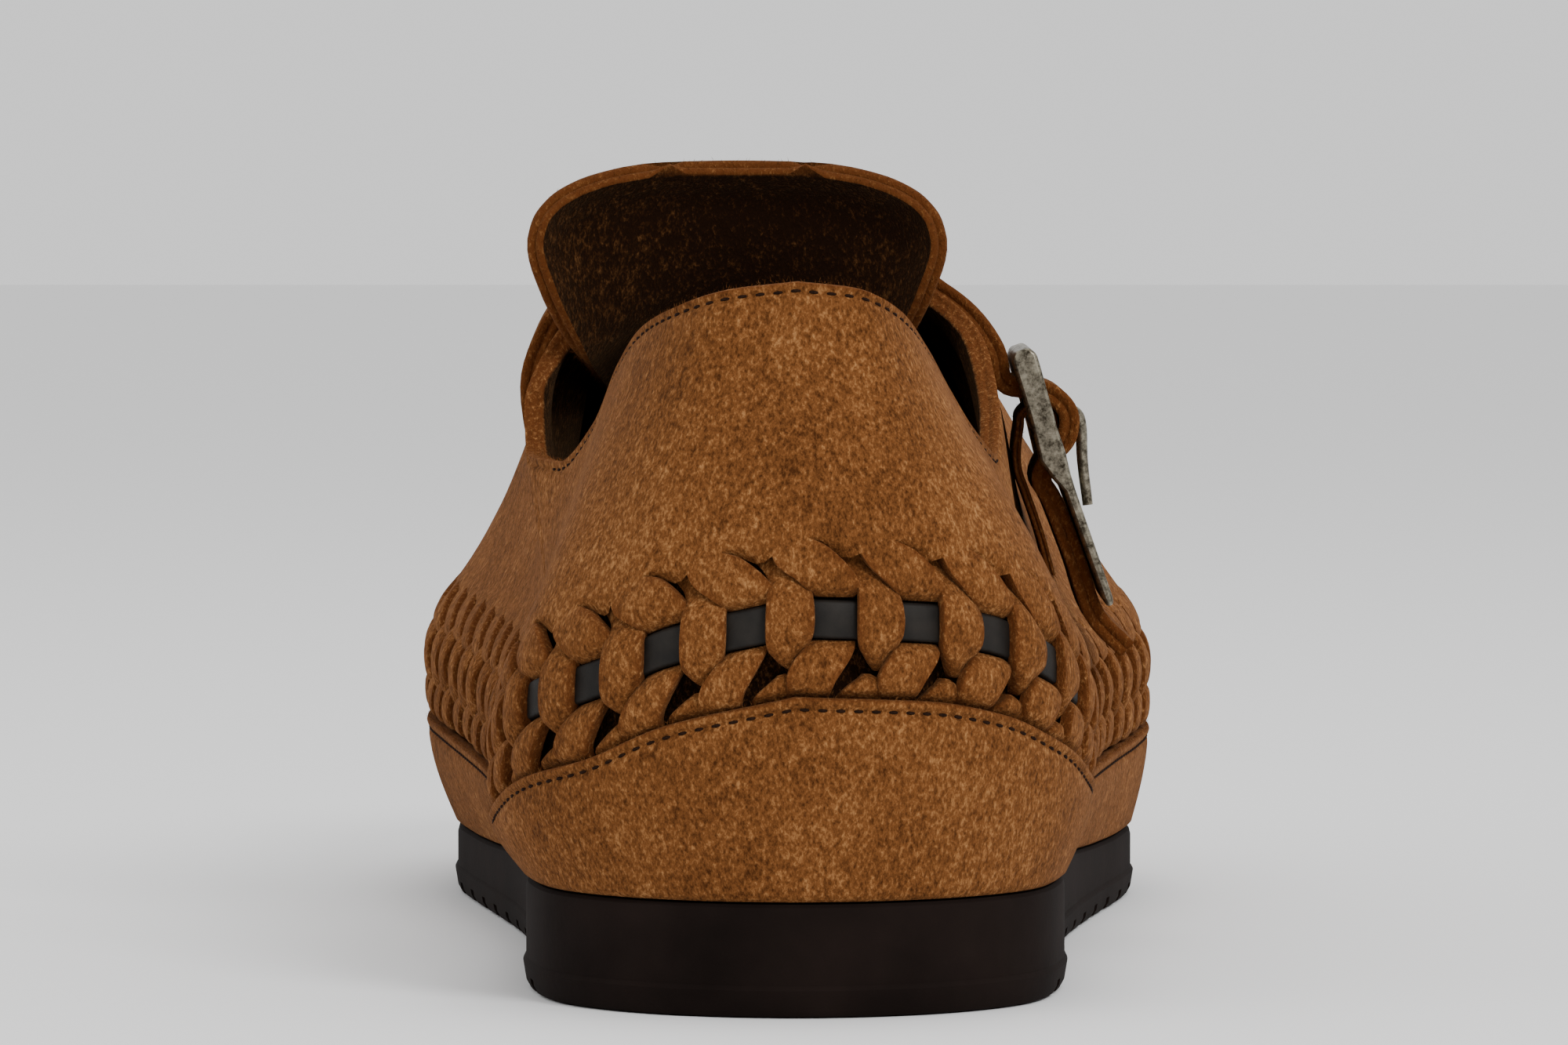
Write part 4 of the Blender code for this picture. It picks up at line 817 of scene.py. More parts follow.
# A strip's stations from its root or top: its left and right edges along the unit and above the lace's
# middle, and how far its left edge, middle and right edge lie behind the strips' faces, all in millimetres
STRIP_COLUMNS = ("place", "left", "left_up", "right", "right_up", "left_depth", "middle_depth", "right_depth")
UPPER_LEAF = (
    (0, -7.1, 8.5, -3.1, 10.3, 0.0, 0.0, 0.0),
    (1, -6.5, 7.2, -1.2, 9.35, 0.0, -0.25, -0.30),
    (2, -5.5, 6.0, 0.45, 7.9, 0.05, -0.38, -0.35),
    (3, -4.4, 4.95, 1.9, 6.2, 0.15, -0.36, -0.15),
    (4, -3.4, 3.95, 2.8, 4.6, 0.35, -0.10, 0.15),
    (5, -2.7, 3.2, 2.75, 3.45, 1.0, 0.70, 0.90),
    (6, -2.4, 2.65, 2.4, 2.7, 1.9, 1.6, 1.8),
)
# The rim of the collar: depth through its two layers and how far each stands up
COLLAR_RIM = (
    (0.00035, 0.00022), (0.0007, 0.00030), (0.00105, 0.00022), (0.0014, -0.00005),
    (0.00175, 0.00022), (0.0021, 0.00030), (0.00245, 0.00022),
)
# Which rows of such an edge are the middles of its two layers
LAYER_MIDDLES = (1, 5)
COLLAR_STITCH_DOWN = 0.0010
COLLAR_FADE = 0.03
# Behind the lace, the wall's inner side: height in the braid band and depth
LACE_CHANNEL = ((0.0015, 0.0038), (BRAID_HEIGHT * 0.5, 0.0040), (BRAID_HEIGHT, 0.0026))
CREASE_FADE = 0.12
# Soft creases of the quarters and vamp: place round, half width of it, from and to up the column, depth
CREASES = (
    (0.852, 0.0040, 0.02, 0.80, 0.0005),
    (0.838, 0.0035, 0.00, 0.70, 0.0006),
    (0.824, 0.0040, 0.02, 0.62, 0.0006),
    (0.810, 0.0035, 0.00, 0.55, 0.0005),
    (0.165, 0.0045, 0.10, 0.85, 0.0005),
    (0.180, 0.0040, 0.05, 0.75, 0.0006),
    (0.322, 0.0090, 0.30, 1.00, 0.0007),
    (0.345, 0.0080, 0.25, 1.00, 0.0006),
    (0.678, 0.0090, 0.30, 1.00, 0.0007),
    (0.655, 0.0080, 0.25, 1.00, 0.0006),
)


def band_place(u, up, depth):
    """Places in the braid band: height above the foxing's edge and depth behind the strips' faces."""
    u, up, depth = np.broadcast_arrays(u, up, depth)
    share = up / BRAID_HEIGHT
    tuck = BRAID_TUCK * side("tuck", u) * np.clip((share - TUCK_START) / (1 - TUCK_START), 0.0, None) ** 2
    return with_height(plan(u, SIDE_BULGE * side("bulge", u) - tuck - depth), foxing_top(u) + up)


def ridge_place(table, share, height):
    """Places along the collar or the ridge of the vamp, by a table of shares."""
    across, along, up = (read(table, COLLAR_COLUMNS, name, share) for name in COLLAR_COLUMNS[1:])
    return np.stack((across * HALF_BALL, along * LENGTH - HEEL_TO_ORIGIN, up * height), axis=-1)


def column_curve(u):
    """Four points of the curve by which each column rises from the braid to the collar or the ridge."""
    u = np.asarray(u, float)
    way, lateral = half_way(u)
    start = band_place(u, BRAID_HEIGHT, 0.0)
    leaving = unit_vector(start - band_place(u, BRAID_HEIGHT * 0.97, 0.0))
    collar = np.where(
        lateral[..., None],
        ridge_place(COLLAR_LATERAL, way, COUNTER_HEIGHT),
        ridge_place(COLLAR_MEDIAL, way, COUNTER_HEIGHT),
    )
    share = np.clip((way - THROAT_WAY) / (1 - THROAT_WAY), 0.0, 1.0)
    open_side = (way <= THROAT_WAY)[..., None]
    end = np.where(open_side, collar, ridge_place(CREST, share, INSTEP_HEIGHT))
    inward = np.where(lateral, -1.0, 1.0)[..., None] * np.array((1.0, 0.0, 0.0))
    arch = ease((way - ARCH_START) / (THROAT_WAY - ARCH_START))[..., None]
    turn = ease((share - TOE_TURN) / (1 - TOE_TURN))[..., None]
    upright = unit_vector((end - start) * np.array(COLLAR_LEAN))
    rising = upright * (1 - arch) + inward * arch
    closing = inward * (1 - turn) + np.array((0.0, -1.0, TOE_RISE)) * turn
    arriving = unit_vector(np.where(open_side, rising, closing))
    reach = np.linalg.norm(end - start, axis=-1, keepdims=True)
    first = start + leaving * reach * (QUARTER_PULL[0] * (1 - arch) + VAMP_PULL[0] * arch)
    second = end - arriving * reach * (QUARTER_PULL[1] * (1 - arch) + VAMP_PULL[1] * arch)
    return start, first, second, end


def body_place(u, t):
    """Places on the upper's face above the braid, t 0 at the braid's top and 1 at the column's end."""
    u, t = np.broadcast_arrays(u, t)
    start, first, second, end = column_curve(u)
    t = t[..., None]
    s = 1 - t
    return start * s**3 + first * 3 * s * s * t + second * 3 * s * t * t + end * t**3


def body_outward(u, t):
    """Outward direction of the upper's face."""
    u, t = np.broadcast_arrays(u, t)
    along = body_place(u + 0.002, t) - body_place(u - 0.002, t)
    up = body_place(u, np.minimum(t + 0.01, 1.0)) - body_place(u, t - 0.01)
    return unit_vector(np.cross(along, up))


def strip_places(table, loose):
    """Grid of a strip's face in every unit: units, stations from the root on, columns left to right."""
    units = np.arange(BRAID_UNITS)
    places = np.linspace(0.0, len(table) - 1.0, STRIP_STEPS * (len(table) - 1) + 1)
    left, left_up, right, right_up, left_depth, middle_depth, right_depth = (
        read(table, STRIP_COLUMNS, name, places)[None, :, None] * MILLIMETRE for name in STRIP_COLUMNS[1:]
    )
    across = np.linspace(0.0, 1.0, LEAF_CELLS + 1)[None, None, :]
    crown = 1 - (2 * across - 1) ** 2
    slope = left_depth * (1 - across) + right_depth * across
    depth = slope + (middle_depth - (left_depth + right_depth) / 2) * crown
    run = left * (1 - across) + right * across
    up = left_up * (1 - across) + right_up * across
    free = np.minimum(places, STRIP_FREE)[None, :, None] / STRIP_FREE
    run = run + loose[0][:, None, None] * free
    up = up + loose[1][:, None, None] * free
    depth = depth + loose[2][:, None, None] * free * (0.4 + 0.6 * crown)
    u = (units[:, None, None] + run / PITCH + UNIT_MIDDLE) / BRAID_UNITS
    return u, up + BRAID_HEIGHT / 2, depth


def lay_strips(pattern, table, loose, roots=None):
    """Thick strips with soft faces and raw sides, one in every unit, on given root corners if any."""
    u, up, depth = strip_places(table, loose)
    first = 0 if roots is None else 1
    face = pattern.corners(band_place(u[:, first:], up[:, first:], depth[:, first:]), RAW_FACE[None, None, :])
    if roots is not None:
        face = np.concatenate((roots[:, None, :], face), axis=1)
    rim = []
    for column, out in ((-1, 1), (0, -1)):
        for sink, spread in STRIP_SIDE:
            shift = out * spread / PITCH / BRAID_UNITS
            low = depth[:, :, column] + sink * STRIP_THICKNESS
            rim.append(band_place(u[:, :, column] + shift, up[:, :, column], low))
    right_high, right_low, left_high, left_low = (pattern.corners(edge, 1.0) for edge in rim)
    loop = np.concatenate(
        (face, right_high[..., None], right_low[..., None], left_low[..., None], left_high[..., None]), axis=2
    )
    for strip in loop:
        pattern.skin(strip, closed=True, inward=True)
        pattern.faces.append(strip[-1])
        if roots is None:
            pattern.faces.append(strip[0][::-1])


COLUMNS = BRAID_UNITS * UNIT_COLUMNS
# The upper's columns start this many before the middle of the heel's back
COLUMN_SHIFT = 3
even_u = (np.arange(COLUMNS) - COLUMN_SHIFT) / COLUMNS
unit_places = np.arange(BRAID_UNITS)[:, None] + np.array(ROOT_PLACES)[None, :] + UNIT_MIDDLE
root_u = (unit_places / BRAID_UNITS).ravel()
root_height = np.tile(np.array(ROOT_HEIGHTS) - BRAID_HEIGHT / 2, BRAID_UNITS)
root_depth = np.tile(ROOT_DEPTHS, BRAID_UNITS)
samples = np.linspace(0.0, 1.0, 25)[:, None]
column_length = np.linalg.norm(np.diff(body_place(even_u[None], samples), axis=0), axis=2).sum(axis=0)

FIRST_ROWS = 5
FIRST_RISE = 0.0035
ROOT_FADE = 2.2
FIELD_ROWS = 26
EDGE_BELOW = (0.0050, 0.0036, 0.0026, 0.0020, 0.0016, 0.0013, 0.0010, 0.0007, 0.0004, 0.0)
face_rows = []
face_shares = []
for row in range(FIRST_ROWS):
    share = row / FIRST_ROWS
    u = root_u + (even_u - root_u) * ease(share)
    height = root_height + (FIRST_RISE - root_height) * share
    notch = root_depth * (1 - min(ROOT_FADE * share, 1.0)) ** 2
    below = band_place(u, BRAID_HEIGHT + np.minimum(height, 0.0), notch)
    above = body_place(u, np.maximum(height, 0.0) / column_length)
    face_rows.append(np.where((height <= 0.0)[:, None], below, above))
    face_shares.append(np.maximum(height, 0.0) / column_length)
field_end = 1 - EDGE_BELOW[0] / column_length
for row in range(FIELD_ROWS):
    share = row / FIELD_ROWS
    face_shares.append(FIRST_RISE / column_length * (1 - share) + field_end * share)
    face_rows.append(body_place(even_u, face_shares[-1]))
for below in EDGE_BELOW:
    face_shares.append(1 - below / column_length)
    face_rows.append(body_place(even_u, face_shares[-1]))
face = np.array(face_rows)
face_shares = np.array(face_shares)
outward = np.concatenate((
    np.repeat(body_outward(even_u, face_shares[FIRST_ROWS])[None], FIRST_ROWS, axis=0),
    body_outward(even_u[None], face_shares[FIRST_ROWS:]),
))
way, lateral = half_way(even_u)
at_collar = ease((THROAT_WAY - way) / COLLAR_FADE)
sunk = np.zeros(face.shape[:2])
for crease_u, width, low, high, depth in CREASES:
    distance = np.abs(np.mod(even_u - crease_u + 0.5, 1.0) - 0.5)
    starting = ease((face_shares - low + CREASE_FADE) / (2 * CREASE_FADE))
    reach = starting * ease((high - face_shares + CREASE_FADE) / (2 * CREASE_FADE))
    sunk += depth * np.exp(-((distance / width) ** 2)) * reach
for k, below in enumerate(EDGE_BELOW):
    sunk[FIRST_ROWS + FIELD_ROWS + k] += stitch_pinch(below, COLLAR_STITCH_DOWN) * at_collar
sunk[:FIRST_ROWS] *= np.linspace(0.0, 1.0, FIRST_ROWS)[:, None]
face = face - outward * sunk[..., None]

upper_pattern = Pattern()
edge_tint = np.zeros(face.shape[:2])
edge_tint[-1] = EDGE_TINT * at_collar
face_index = upper_pattern.corners(face, edge_tint)
# Over the vamp the inner half ends on the outer half's corners, column by column
partner = np.mod(2 * COLUMN_SHIFT - np.arange(COLUMNS), COLUMNS)
front_inner = (~lateral) & (way > THROAT_WAY)
face_index[-1] = np.where(front_inner, face_index[-1][partner], face_index[-1])
upper_pattern.skin(face_index, closed=True)

rim_end = body_place(even_u, 1.0)
rim_out = body_outward(even_u, np.ones(COLUMNS))
rim_up = unit_vector(rim_end - body_place(even_u, 0.97))
rim_rows = [rim_end - rim_out * depth + rim_up * rise for depth, rise in COLLAR_RIM]
rim_index = upper_pattern.corners(np.array(rim_rows), 1.0)
lining_shares = np.concatenate((1 - np.array((0.0, 0.02, 0.06)), np.linspace(0.90, 0.0, 16)))[:, None]
lining = body_place(even_u[None], lining_shares) - body_outward(even_u[None], lining_shares) * WALL
# The lining's corners take the lining tone: partly its darker suede, partly painted shade inside the upper
lining_index = upper_pattern.corners(lining, lined_shade=1.0)
lining_index[0] = np.where(front_inner, lining_index[0][partner], lining_index[0])
collar_index = np.concatenate((face_index[-1:], rim_index, lining_index[:1]))
open_columns = np.nonzero(way <= THROAT_WAY + 1e-9)[0]
open_set = set(open_columns.tolist())
for column in open_columns:
    following = (column + 1) % COLUMNS
    if following in open_set:
        for low, high in zip(collar_index, collar_index[1:]):
            upper_pattern.faces.append((low[column], low[following], high[following], high[column]))
behind = [band_place(even_u, BRAID_HEIGHT * share, BRAID_WALL) for share in (0.85, 0.5, 0.12)]
foot_height = sole_top(plan(even_u)[:, 1]) + FOOTBED_CORE + 2 * CLEARANCE
ledge = FOXING_THICKNESS + CLEARANCE
behind.append(margin_place(even_u, foot_height, BRAID_WALL))
behind.append(margin_place(even_u, foot_height, ledge))
behind.append(margin_place(even_u, foxing_top(even_u) - 0.0002, ledge))
behind += [band_place(even_u, up, depth) for up, depth in LACE_CHANNEL]
# The wall behind the braid and the lace channel take the same lining tone, painted shade behind the braid
behind_index = upper_pattern.corners(np.array(behind), lined_shade=1.0)
inside_index = np.concatenate((lining_index, behind_index))
upper_pattern.skin(inside_index, closed=True)

hand = np.random.RandomState(7)


def by_hand():
    """How far each unit's strip lies off its even place: along, up and in depth."""
    return hand.uniform(-1.0, 1.0, (3, BRAID_UNITS)) * np.array(STRIP_SLACK)[:, None]


leaf_roots = face_index[0].reshape(BRAID_UNITS, UNIT_COLUMNS)[:, : LEAF_CELLS + 1]
lay_strips(upper_pattern, UPPER_LEAF, by_hand(), roots=leaf_roots)
signed_way = np.where(lateral, way, -way)
collar_order = np.argsort(signed_way)
collar_order = collar_order[np.abs(signed_way[collar_order]) <= THROAT_WAY]
for layer in LAYER_MIDDLES:
    fray(upper_pattern, rim_rows[layer][collar_order], (rim_up + 0.4 * rim_out)[collar_order])
tan_suede = suede("tan_suede")
upper = upper_pattern.piece("upper_suede", tan_suede, 60)
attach(upper, "root")
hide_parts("upper")

STITCHED_WAY = 0.27
stitched_row = FIRST_ROWS + FIELD_ROWS + EDGE_BELOW.index(COLLAR_STITCH_DOWN)
round_heel = collar_order[np.abs(signed_way[collar_order]) < STITCHED_WAY]
collar_thread = Pattern()
sew(collar_thread, face[stitched_row][round_heel], outward[stitched_row][round_heel])
collar_stitches = collar_thread.piece("collar_stitches", dark_thread, 80)
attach(collar_stitches, "root")

# Braid strips
# Strips slit from the same suede. In each unit one comes out of the notch, lies over the lace and tucks in
# below it, one comes out under the lace and leans down to the left, and the tip of a third shows under it.
OVER_STRIP = (
    (0, -0.5, 9.3, 3.7, 9.0, 2.0, 1.9, 2.1),
    (1, 1.0, 7.7, 4.6, 7.5, 2.1, 1.9, 2.4),
    (2, 2.1, 6.2, 5.9, 6.2, 1.7, 1.3, 2.6),
    (3, 2.6, 5.0, 7.0, 4.8, 0.7, 0.55, 1.9),
    (4, 2.5, 3.6, 7.4, 3.4, 0.0, -0.20, 0.8),
    (5, 2.45, 1.7, 7.55, 1.7, -0.30, -0.55, -0.15),
    (6, 2.4, 0.0, 7.6, 0.0, -0.35, -0.62, -0.35),
    (7, 2.4, -1.7, 7.5, -1.7, -0.30, -0.55, -0.20),
    (8, 2.6, -3.3, 7.1, -3.2, 0.0, -0.25, 0.7),
    (9, 3.3, -4.6, 6.5, -4.5, 0.6, 0.30, 1.7),
    (10, 4.1, -5.7, 6.2, -5.5, 1.4, 1.1, 2.4),
    (11, 4.9, -6.5, 6.1, -6.3, 2.2, 2.1, 2.7),
)
LOWER_LEAF = (
    (0, -2.4, -2.65, 2.35, -2.65, 1.9, 1.6, 1.8),
    (1, -3.0, -3.3, 2.25, -3.4, 1.1, 0.5, 0.9),
    (2, -4.0, -4.7, 1.6, -4.9, 0.10, -0.25, 0.05),
    (3, -4.9, -6.1, 0.7, -6.5, -0.05, -0.35, -0.05),
    (4, -5.3, -7.6, -0.1, -8.0, 0.05, -0.20, 0.05),
    (5, -5.2, -9.0, -0.5, -9.3, 0.8, 0.4, 0.8),
    (6, -5.1, -10.1, -0.6, -10.1, 2.5, 2.4, 2.5),
)
UNDER_TIP = (
    (0, 3.5, -6.8, 4.3, -6.8, 2.0, 1.9, 2.2),
    (1, 2.5, -7.6, 5.2, -7.5, 1.3, 0.9, 1.6),
    (2, 1.1, -8.7, 5.7, -8.7, 1.1, 0.8, 1.5),
    (3, 0.1, -10.1, 5.8, -10.1, 2.5, 2.4, 2.6),
)
strip_pattern = Pattern()
lay_strips(strip_pattern, OVER_STRIP, by_hand())
lay_strips(strip_pattern, LOWER_LEAF, by_hand())
lay_strips(strip_pattern, UNDER_TIP, by_hand())
strips = strip_pattern.piece("braid_strips", tan_suede, 60)
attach(strips, "root")

# Braid lace
# A flat dark rubbery lace, threaded all round behind the upright strips. It swells a little in each window.
LACE_DEPTH = 0.0011
LACE_THICKNESS = 0.0019
LACE_HALF_HEIGHT = 0.00245
LACE_SWELL = 0.0003
LACE_SECTION = (
    (-1.0, 0.30), (-0.93, 0.08), (-0.80, 0.0), (0.0, -0.03), (0.80, 0.0), (0.93, 0.08), (1.0, 0.30),
    (1.0, 0.85), (0.85, 1.0), (-0.85, 1.0), (-1.0, 0.85),
)
LACE_UNIT_COLUMNS = 8
lace_unit = np.arange(BRAID_UNITS * LACE_UNIT_COLUMNS) / LACE_UNIT_COLUMNS
lace_u = (lace_unit + UNIT_MIDDLE) / BRAID_UNITS
lace_depth = LACE_DEPTH - LACE_SWELL * np.cos(2 * math.pi * lace_unit)
lace_rows = [
    band_place(lace_u, BRAID_HEIGHT / 2 + up * LACE_HALF_HEIGHT, lace_depth + depth * LACE_THICKNESS)
    for up, depth in LACE_SECTION
]
lace_pattern = Pattern()
lace_index = lace_pattern.corners(np.array(lace_rows + lace_rows[:1]))
lace_index[-1] = lace_index[0]
lace_pattern.skin(lace_index, closed=True)
rubber, tree, shader = plain_material("dark_rubber", (0.009, 0.0072, 0.0056), 0.62)
shader.inputs["Specular IOR Level"].default_value = 0.20
rubber_grain = noise(tree, 0.0006, 4.0)
join(tree, shader, "Base Color", ramp(tree, noise(tree, 0.004, 4.0), "Fac", (
    (0.30, (0.0055, 0.0044, 0.0034)),
    (0.72, (0.0150, 0.0118, 0.0090)),
)))
bump(tree, shader, rubber_grain, "Fac", 0.0001, 0.5)
lace = lace_pattern.piece("flat_lace", rubber, 60)
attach(lace, "root")
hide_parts("braid_lace")

# Tongue
# Two layers of suede sewn back to back. It rises out of the throat and curls back at its sides, and its
# raw edge shows both layers.
TONGUE_HEIGHT = 0.1081
TONGUE_WIDTH = 0.0560
TONGUE_THICKNESS = 0.0026
TONGUE_MIDDLE = -0.154
TONGUE_COLUMNS = ("way", "along", "height", "half_width", "curl", "drop")
TONGUE = (
    (0.00, 0.551, 0.735, 0.300, 0.000, 0.110),
    (0.20, 0.500, 0.778, 0.325, 0.030, 0.145),
    (0.38, 0.450, 0.809, 0.352, 0.090, 0.160),
    (0.52, 0.406, 0.838, 0.385, 0.170, 0.155),
    (0.66, 0.392, 0.891, 0.458, 0.180, 0.110),
    (0.80, 0.386, 0.935, 0.494, 0.165, 0.070),
    (0.86, 0.384, 0.955, 0.482, 0.150, 0.055),
    (0.91, 0.382, 0.970, 0.450, 0.125, 0.040),
    (0.95, 0.380, 0.982, 0.393, 0.095, 0.026),
    (0.98, 0.379, 0.990, 0.307, 0.060, 0.012),
    (1.00, 0.379, 0.996, 0.170, 0.020, 0.000),
)
# The rim rolls back towards the ankle: how wide and how far, and the way up from which it does
TONGUE_ROLL_WIDTH = 0.0060
TONGUE_ROLL = 0.0034
TONGUE_ROLL_START = 0.48
TONGUE_ROLL_FADE = 0.2
# The section of a two-layer raw edge: share through the thickness, and how far it stands out
EDGE_SECTION = (
    (0.12, 0.00022), (0.25, 0.00030), (0.38, 0.00022), (0.50, -0.00008), (0.62, 0.00022), (0.75, 0.00030),
    (0.88, 0.00022),
)


def two_layer_sheet(pattern, middle, thickness, lined_shade=0.0):
    """A thick sheet about a grid of places, with a raw edge all round and its front lined if asked, in the
    lining tone that paints shade.
    """
    rise = np.gradient(middle, axis=0)
    run = np.gradient(middle, axis=1)
    facing = unit_vector(np.cross(run, rise))
    tint = np.zeros(middle.shape[:2])
    tint[(0, -1), :] = EDGE_TINT
    tint[:, (0, -1)] = EDGE_TINT
    lining = np.full(middle.shape[:2], lined_shade)
    lining[tint > 0] = 0.0
    front = pattern.corners(middle + facing * thickness / 2, tint, lining)
    back = pattern.corners(middle - facing * thickness / 2, tint)
    pattern.skin(front)
    pattern.skin(back, inward=True)
    rows, columns = middle.shape[:2]
    edge = [(0, c) for c in range(columns)]
    edge += [(r, columns - 1) for r in range(1, rows)]
    edge += [(rows - 1, c) for c in range(columns - 2, -1, -1)]
    edge += [(r, 0) for r in range(rows - 2, 0, -1)]
    r, c = np.array(edge).T
    line = middle[r, c]
    travel = np.roll(line, -1, axis=0) - np.roll(line, 1, axis=0)
    out = unit_vector(np.cross(travel, facing[r, c]))
    rings = [line + facing[r, c] * thickness * (0.5 - share) + out * stand for share, stand in EDGE_SECTION]
    ring_index = pattern.corners(np.array(rings), 1.0)
    pattern.skin(np.concatenate((front[r, c][None], ring_index, back[r, c][None])), closed=True, inward=True)
    for layer in LAYER_MIDDLES:
        fray(pattern, rings[layer], out)


tongue_way = np.concatenate((np.linspace(0.0, 0.84, 32), np.linspace(0.855, 1.0, 22)))[:, None]
tongue_across = np.sin(np.linspace(-1.0, 1.0, 51) * math.pi / 2)[None]
tongue_row = {name: read(TONGUE, TONGUE_COLUMNS, name, tongue_way) for name in TONGUE_COLUMNS[1:]}
tongue_x = TONGUE_MIDDLE * HALF_BALL + tongue_row["half_width"] * TONGUE_WIDTH * tongue_across
tongue_z = tongue_row["height"] * TONGUE_HEIGHT - tongue_row["drop"] * TONGUE_WIDTH * tongue_across**2
tongue_flat = np.stack((tongue_x, tongue_z), axis=-1)
tongue_rim = np.concatenate((tongue_flat[:, 0], tongue_flat[-1], tongue_flat[::-1, -1]))
rim_step = np.diff(tongue_rim, axis=0)
to_rim = tongue_flat[:, :, None] - tongue_rim[:-1]
rim_share = np.clip((to_rim * rim_step).sum(-1) / ((rim_step**2).sum(-1) + 1e-15), 0.0, 1.0)
from_rim = np.linalg.norm(to_rim - rim_share[..., None] * rim_step, axis=-1).min(axis=-1)
rolled = np.clip(1 - from_rim / TONGUE_ROLL_WIDTH, 0.0, 1.0) ** 2
roll = rolled * ease((tongue_way - TONGUE_ROLL_START) / TONGUE_ROLL_FADE)
tongue_y = tongue_row["along"] * LENGTH - HEEL_TO_ORIGIN
tongue_y = tongue_y - tongue_row["curl"] * TONGUE_WIDTH * tongue_across**2 - roll * TONGUE_ROLL
tongue_middle = np.stack((tongue_x, tongue_y, tongue_z), axis=-1)
tongue_pattern = Pattern()
# Its front faces the ankle and takes the lining tone: partly the tongue's darker lining, partly painted shade
# of its inside
two_layer_sheet(tongue_pattern, tongue_middle, TONGUE_THICKNESS, lined_shade=1.0)
# The tongue's tones are darker than the upper's suede: painted shade for the tongue's shaded inside
tongue_suede = suede("tongue_suede", (0.036, 0.0115, 0.0028), (0.105, 0.036, 0.0090), (0.28, 0.125, 0.042))
tongue = tongue_pattern.piece("tongue_suede", tongue_suede, 60)
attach(tongue, "root")
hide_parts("tongue")

# Buckle
# A cast antique-bronze frame on the outer side: top bar, two rails, a centre bar that the anchor strap
# loops round, and a wide bare plate below. A prong on the centre bar holds the strap.
STRAP_ALONG = 0.4228
BUCKLE_TOP_X = 0.0314
BUCKLE_TOP_Z = 0.0826
BUCKLE_SLOPE = 0.3350
BUCKLE_LENGTH = 0.0374
BUCKLE_WIDTH = 0.0320
BUCKLE_RAIL = 0.0028
TOP_BAR = 0.0034
CENTRE_BAR = 0.0020
CENTRE_BAR_AT = 0.0105
PLATE_LENGTH = 0.0187
PRONG_DIAMETER = 0.0020
BUCKLE_DOWN = np.array((math.sin(BUCKLE_SLOPE), 0.0, -math.cos(BUCKLE_SLOPE)))
BUCKLE_OUT = np.array((math.cos(BUCKLE_SLOPE), 0.0, math.sin(BUCKLE_SLOPE)))
BUCKLE_ORIGIN = np.array((BUCKLE_TOP_X, STRAP_ALONG * LENGTH - HEEL_TO_ORIGIN, BUCKLE_TOP_Z))
FORWARD = np.array((0.0, 1.0, 0.0))
# Rows down the frame: place, half thickness, and how far the frame bows out there
PLATE_AT = BUCKLE_LENGTH - PLATE_LENGTH
BUCKLE_ROWS = (
    (0.0, 0.0010, 0.0),
    (TOP_BAR * 0.35, 0.0018, 0.0),
    (TOP_BAR, 0.0018, -0.0001),
    (CENTRE_BAR_AT - CENTRE_BAR / 2, 0.0018, -0.0003),
    (CENTRE_BAR_AT + CENTRE_BAR / 2, 0.0018, -0.0005),
    (PLATE_AT - 0.0032, 0.0019, -0.0008),
    (PLATE_AT - 0.0004, 0.0013, -0.0005),
    (PLATE_AT + 0.0018, 0.0008, -0.0001),
    (BUCKLE_LENGTH - 0.0012, 0.0007, 0.0),
    (BUCKLE_LENGTH, 0.0005, 0.0),
)
BUCKLE_OPENINGS = ((2, 1), (4, 1), (5, 1))
BUCKLE_ROUNDING = 0.0007
BUCKLE_ROUNDED_FROM = 35
# The centre bar is thinner than the rails and set inward
BAR_ROWS = slice(3, 5)
BAR_SET_IN = -0.0012


def buckle_place(down, out, across):
    """Places in the buckle's own frame: down its length, outward, and forward across its width."""
    given = np.broadcast_arrays(down, out, across)
    down, out, across = (np.asarray(value, float)[..., None] for value in given)
    return BUCKLE_ORIGIN + BUCKLE_DOWN * down + BUCKLE_OUT * out + FORWARD * across


def antique_metal(name, dark, bright):
    """Cast bronze with dark patina in its hollows and brushed high spots."""
    finish, tree, shader = plain_material(name, bright, 0.34, 1.0)
    patina = noise(tree, 0.0013, 5.0, 0.75)
    scratches = noise(tree, 0.0008, 3.0, 0.6, (1.0, 0.25, 1.0))
    join(tree, shader, "Base Color", ramp(tree, patina, "Fac", ((0.38, dark), (0.64, bright))))
    rough = ramp(tree, patina, "Fac", ((0.35, (0.60, 0.60, 0.60)), (0.66, (0.28, 0.28, 0.28))))
    join(tree, shader, "Roughness", rough)
    bump(tree, shader, scratches, "Fac", 0.00008, 0.5)
    return finish


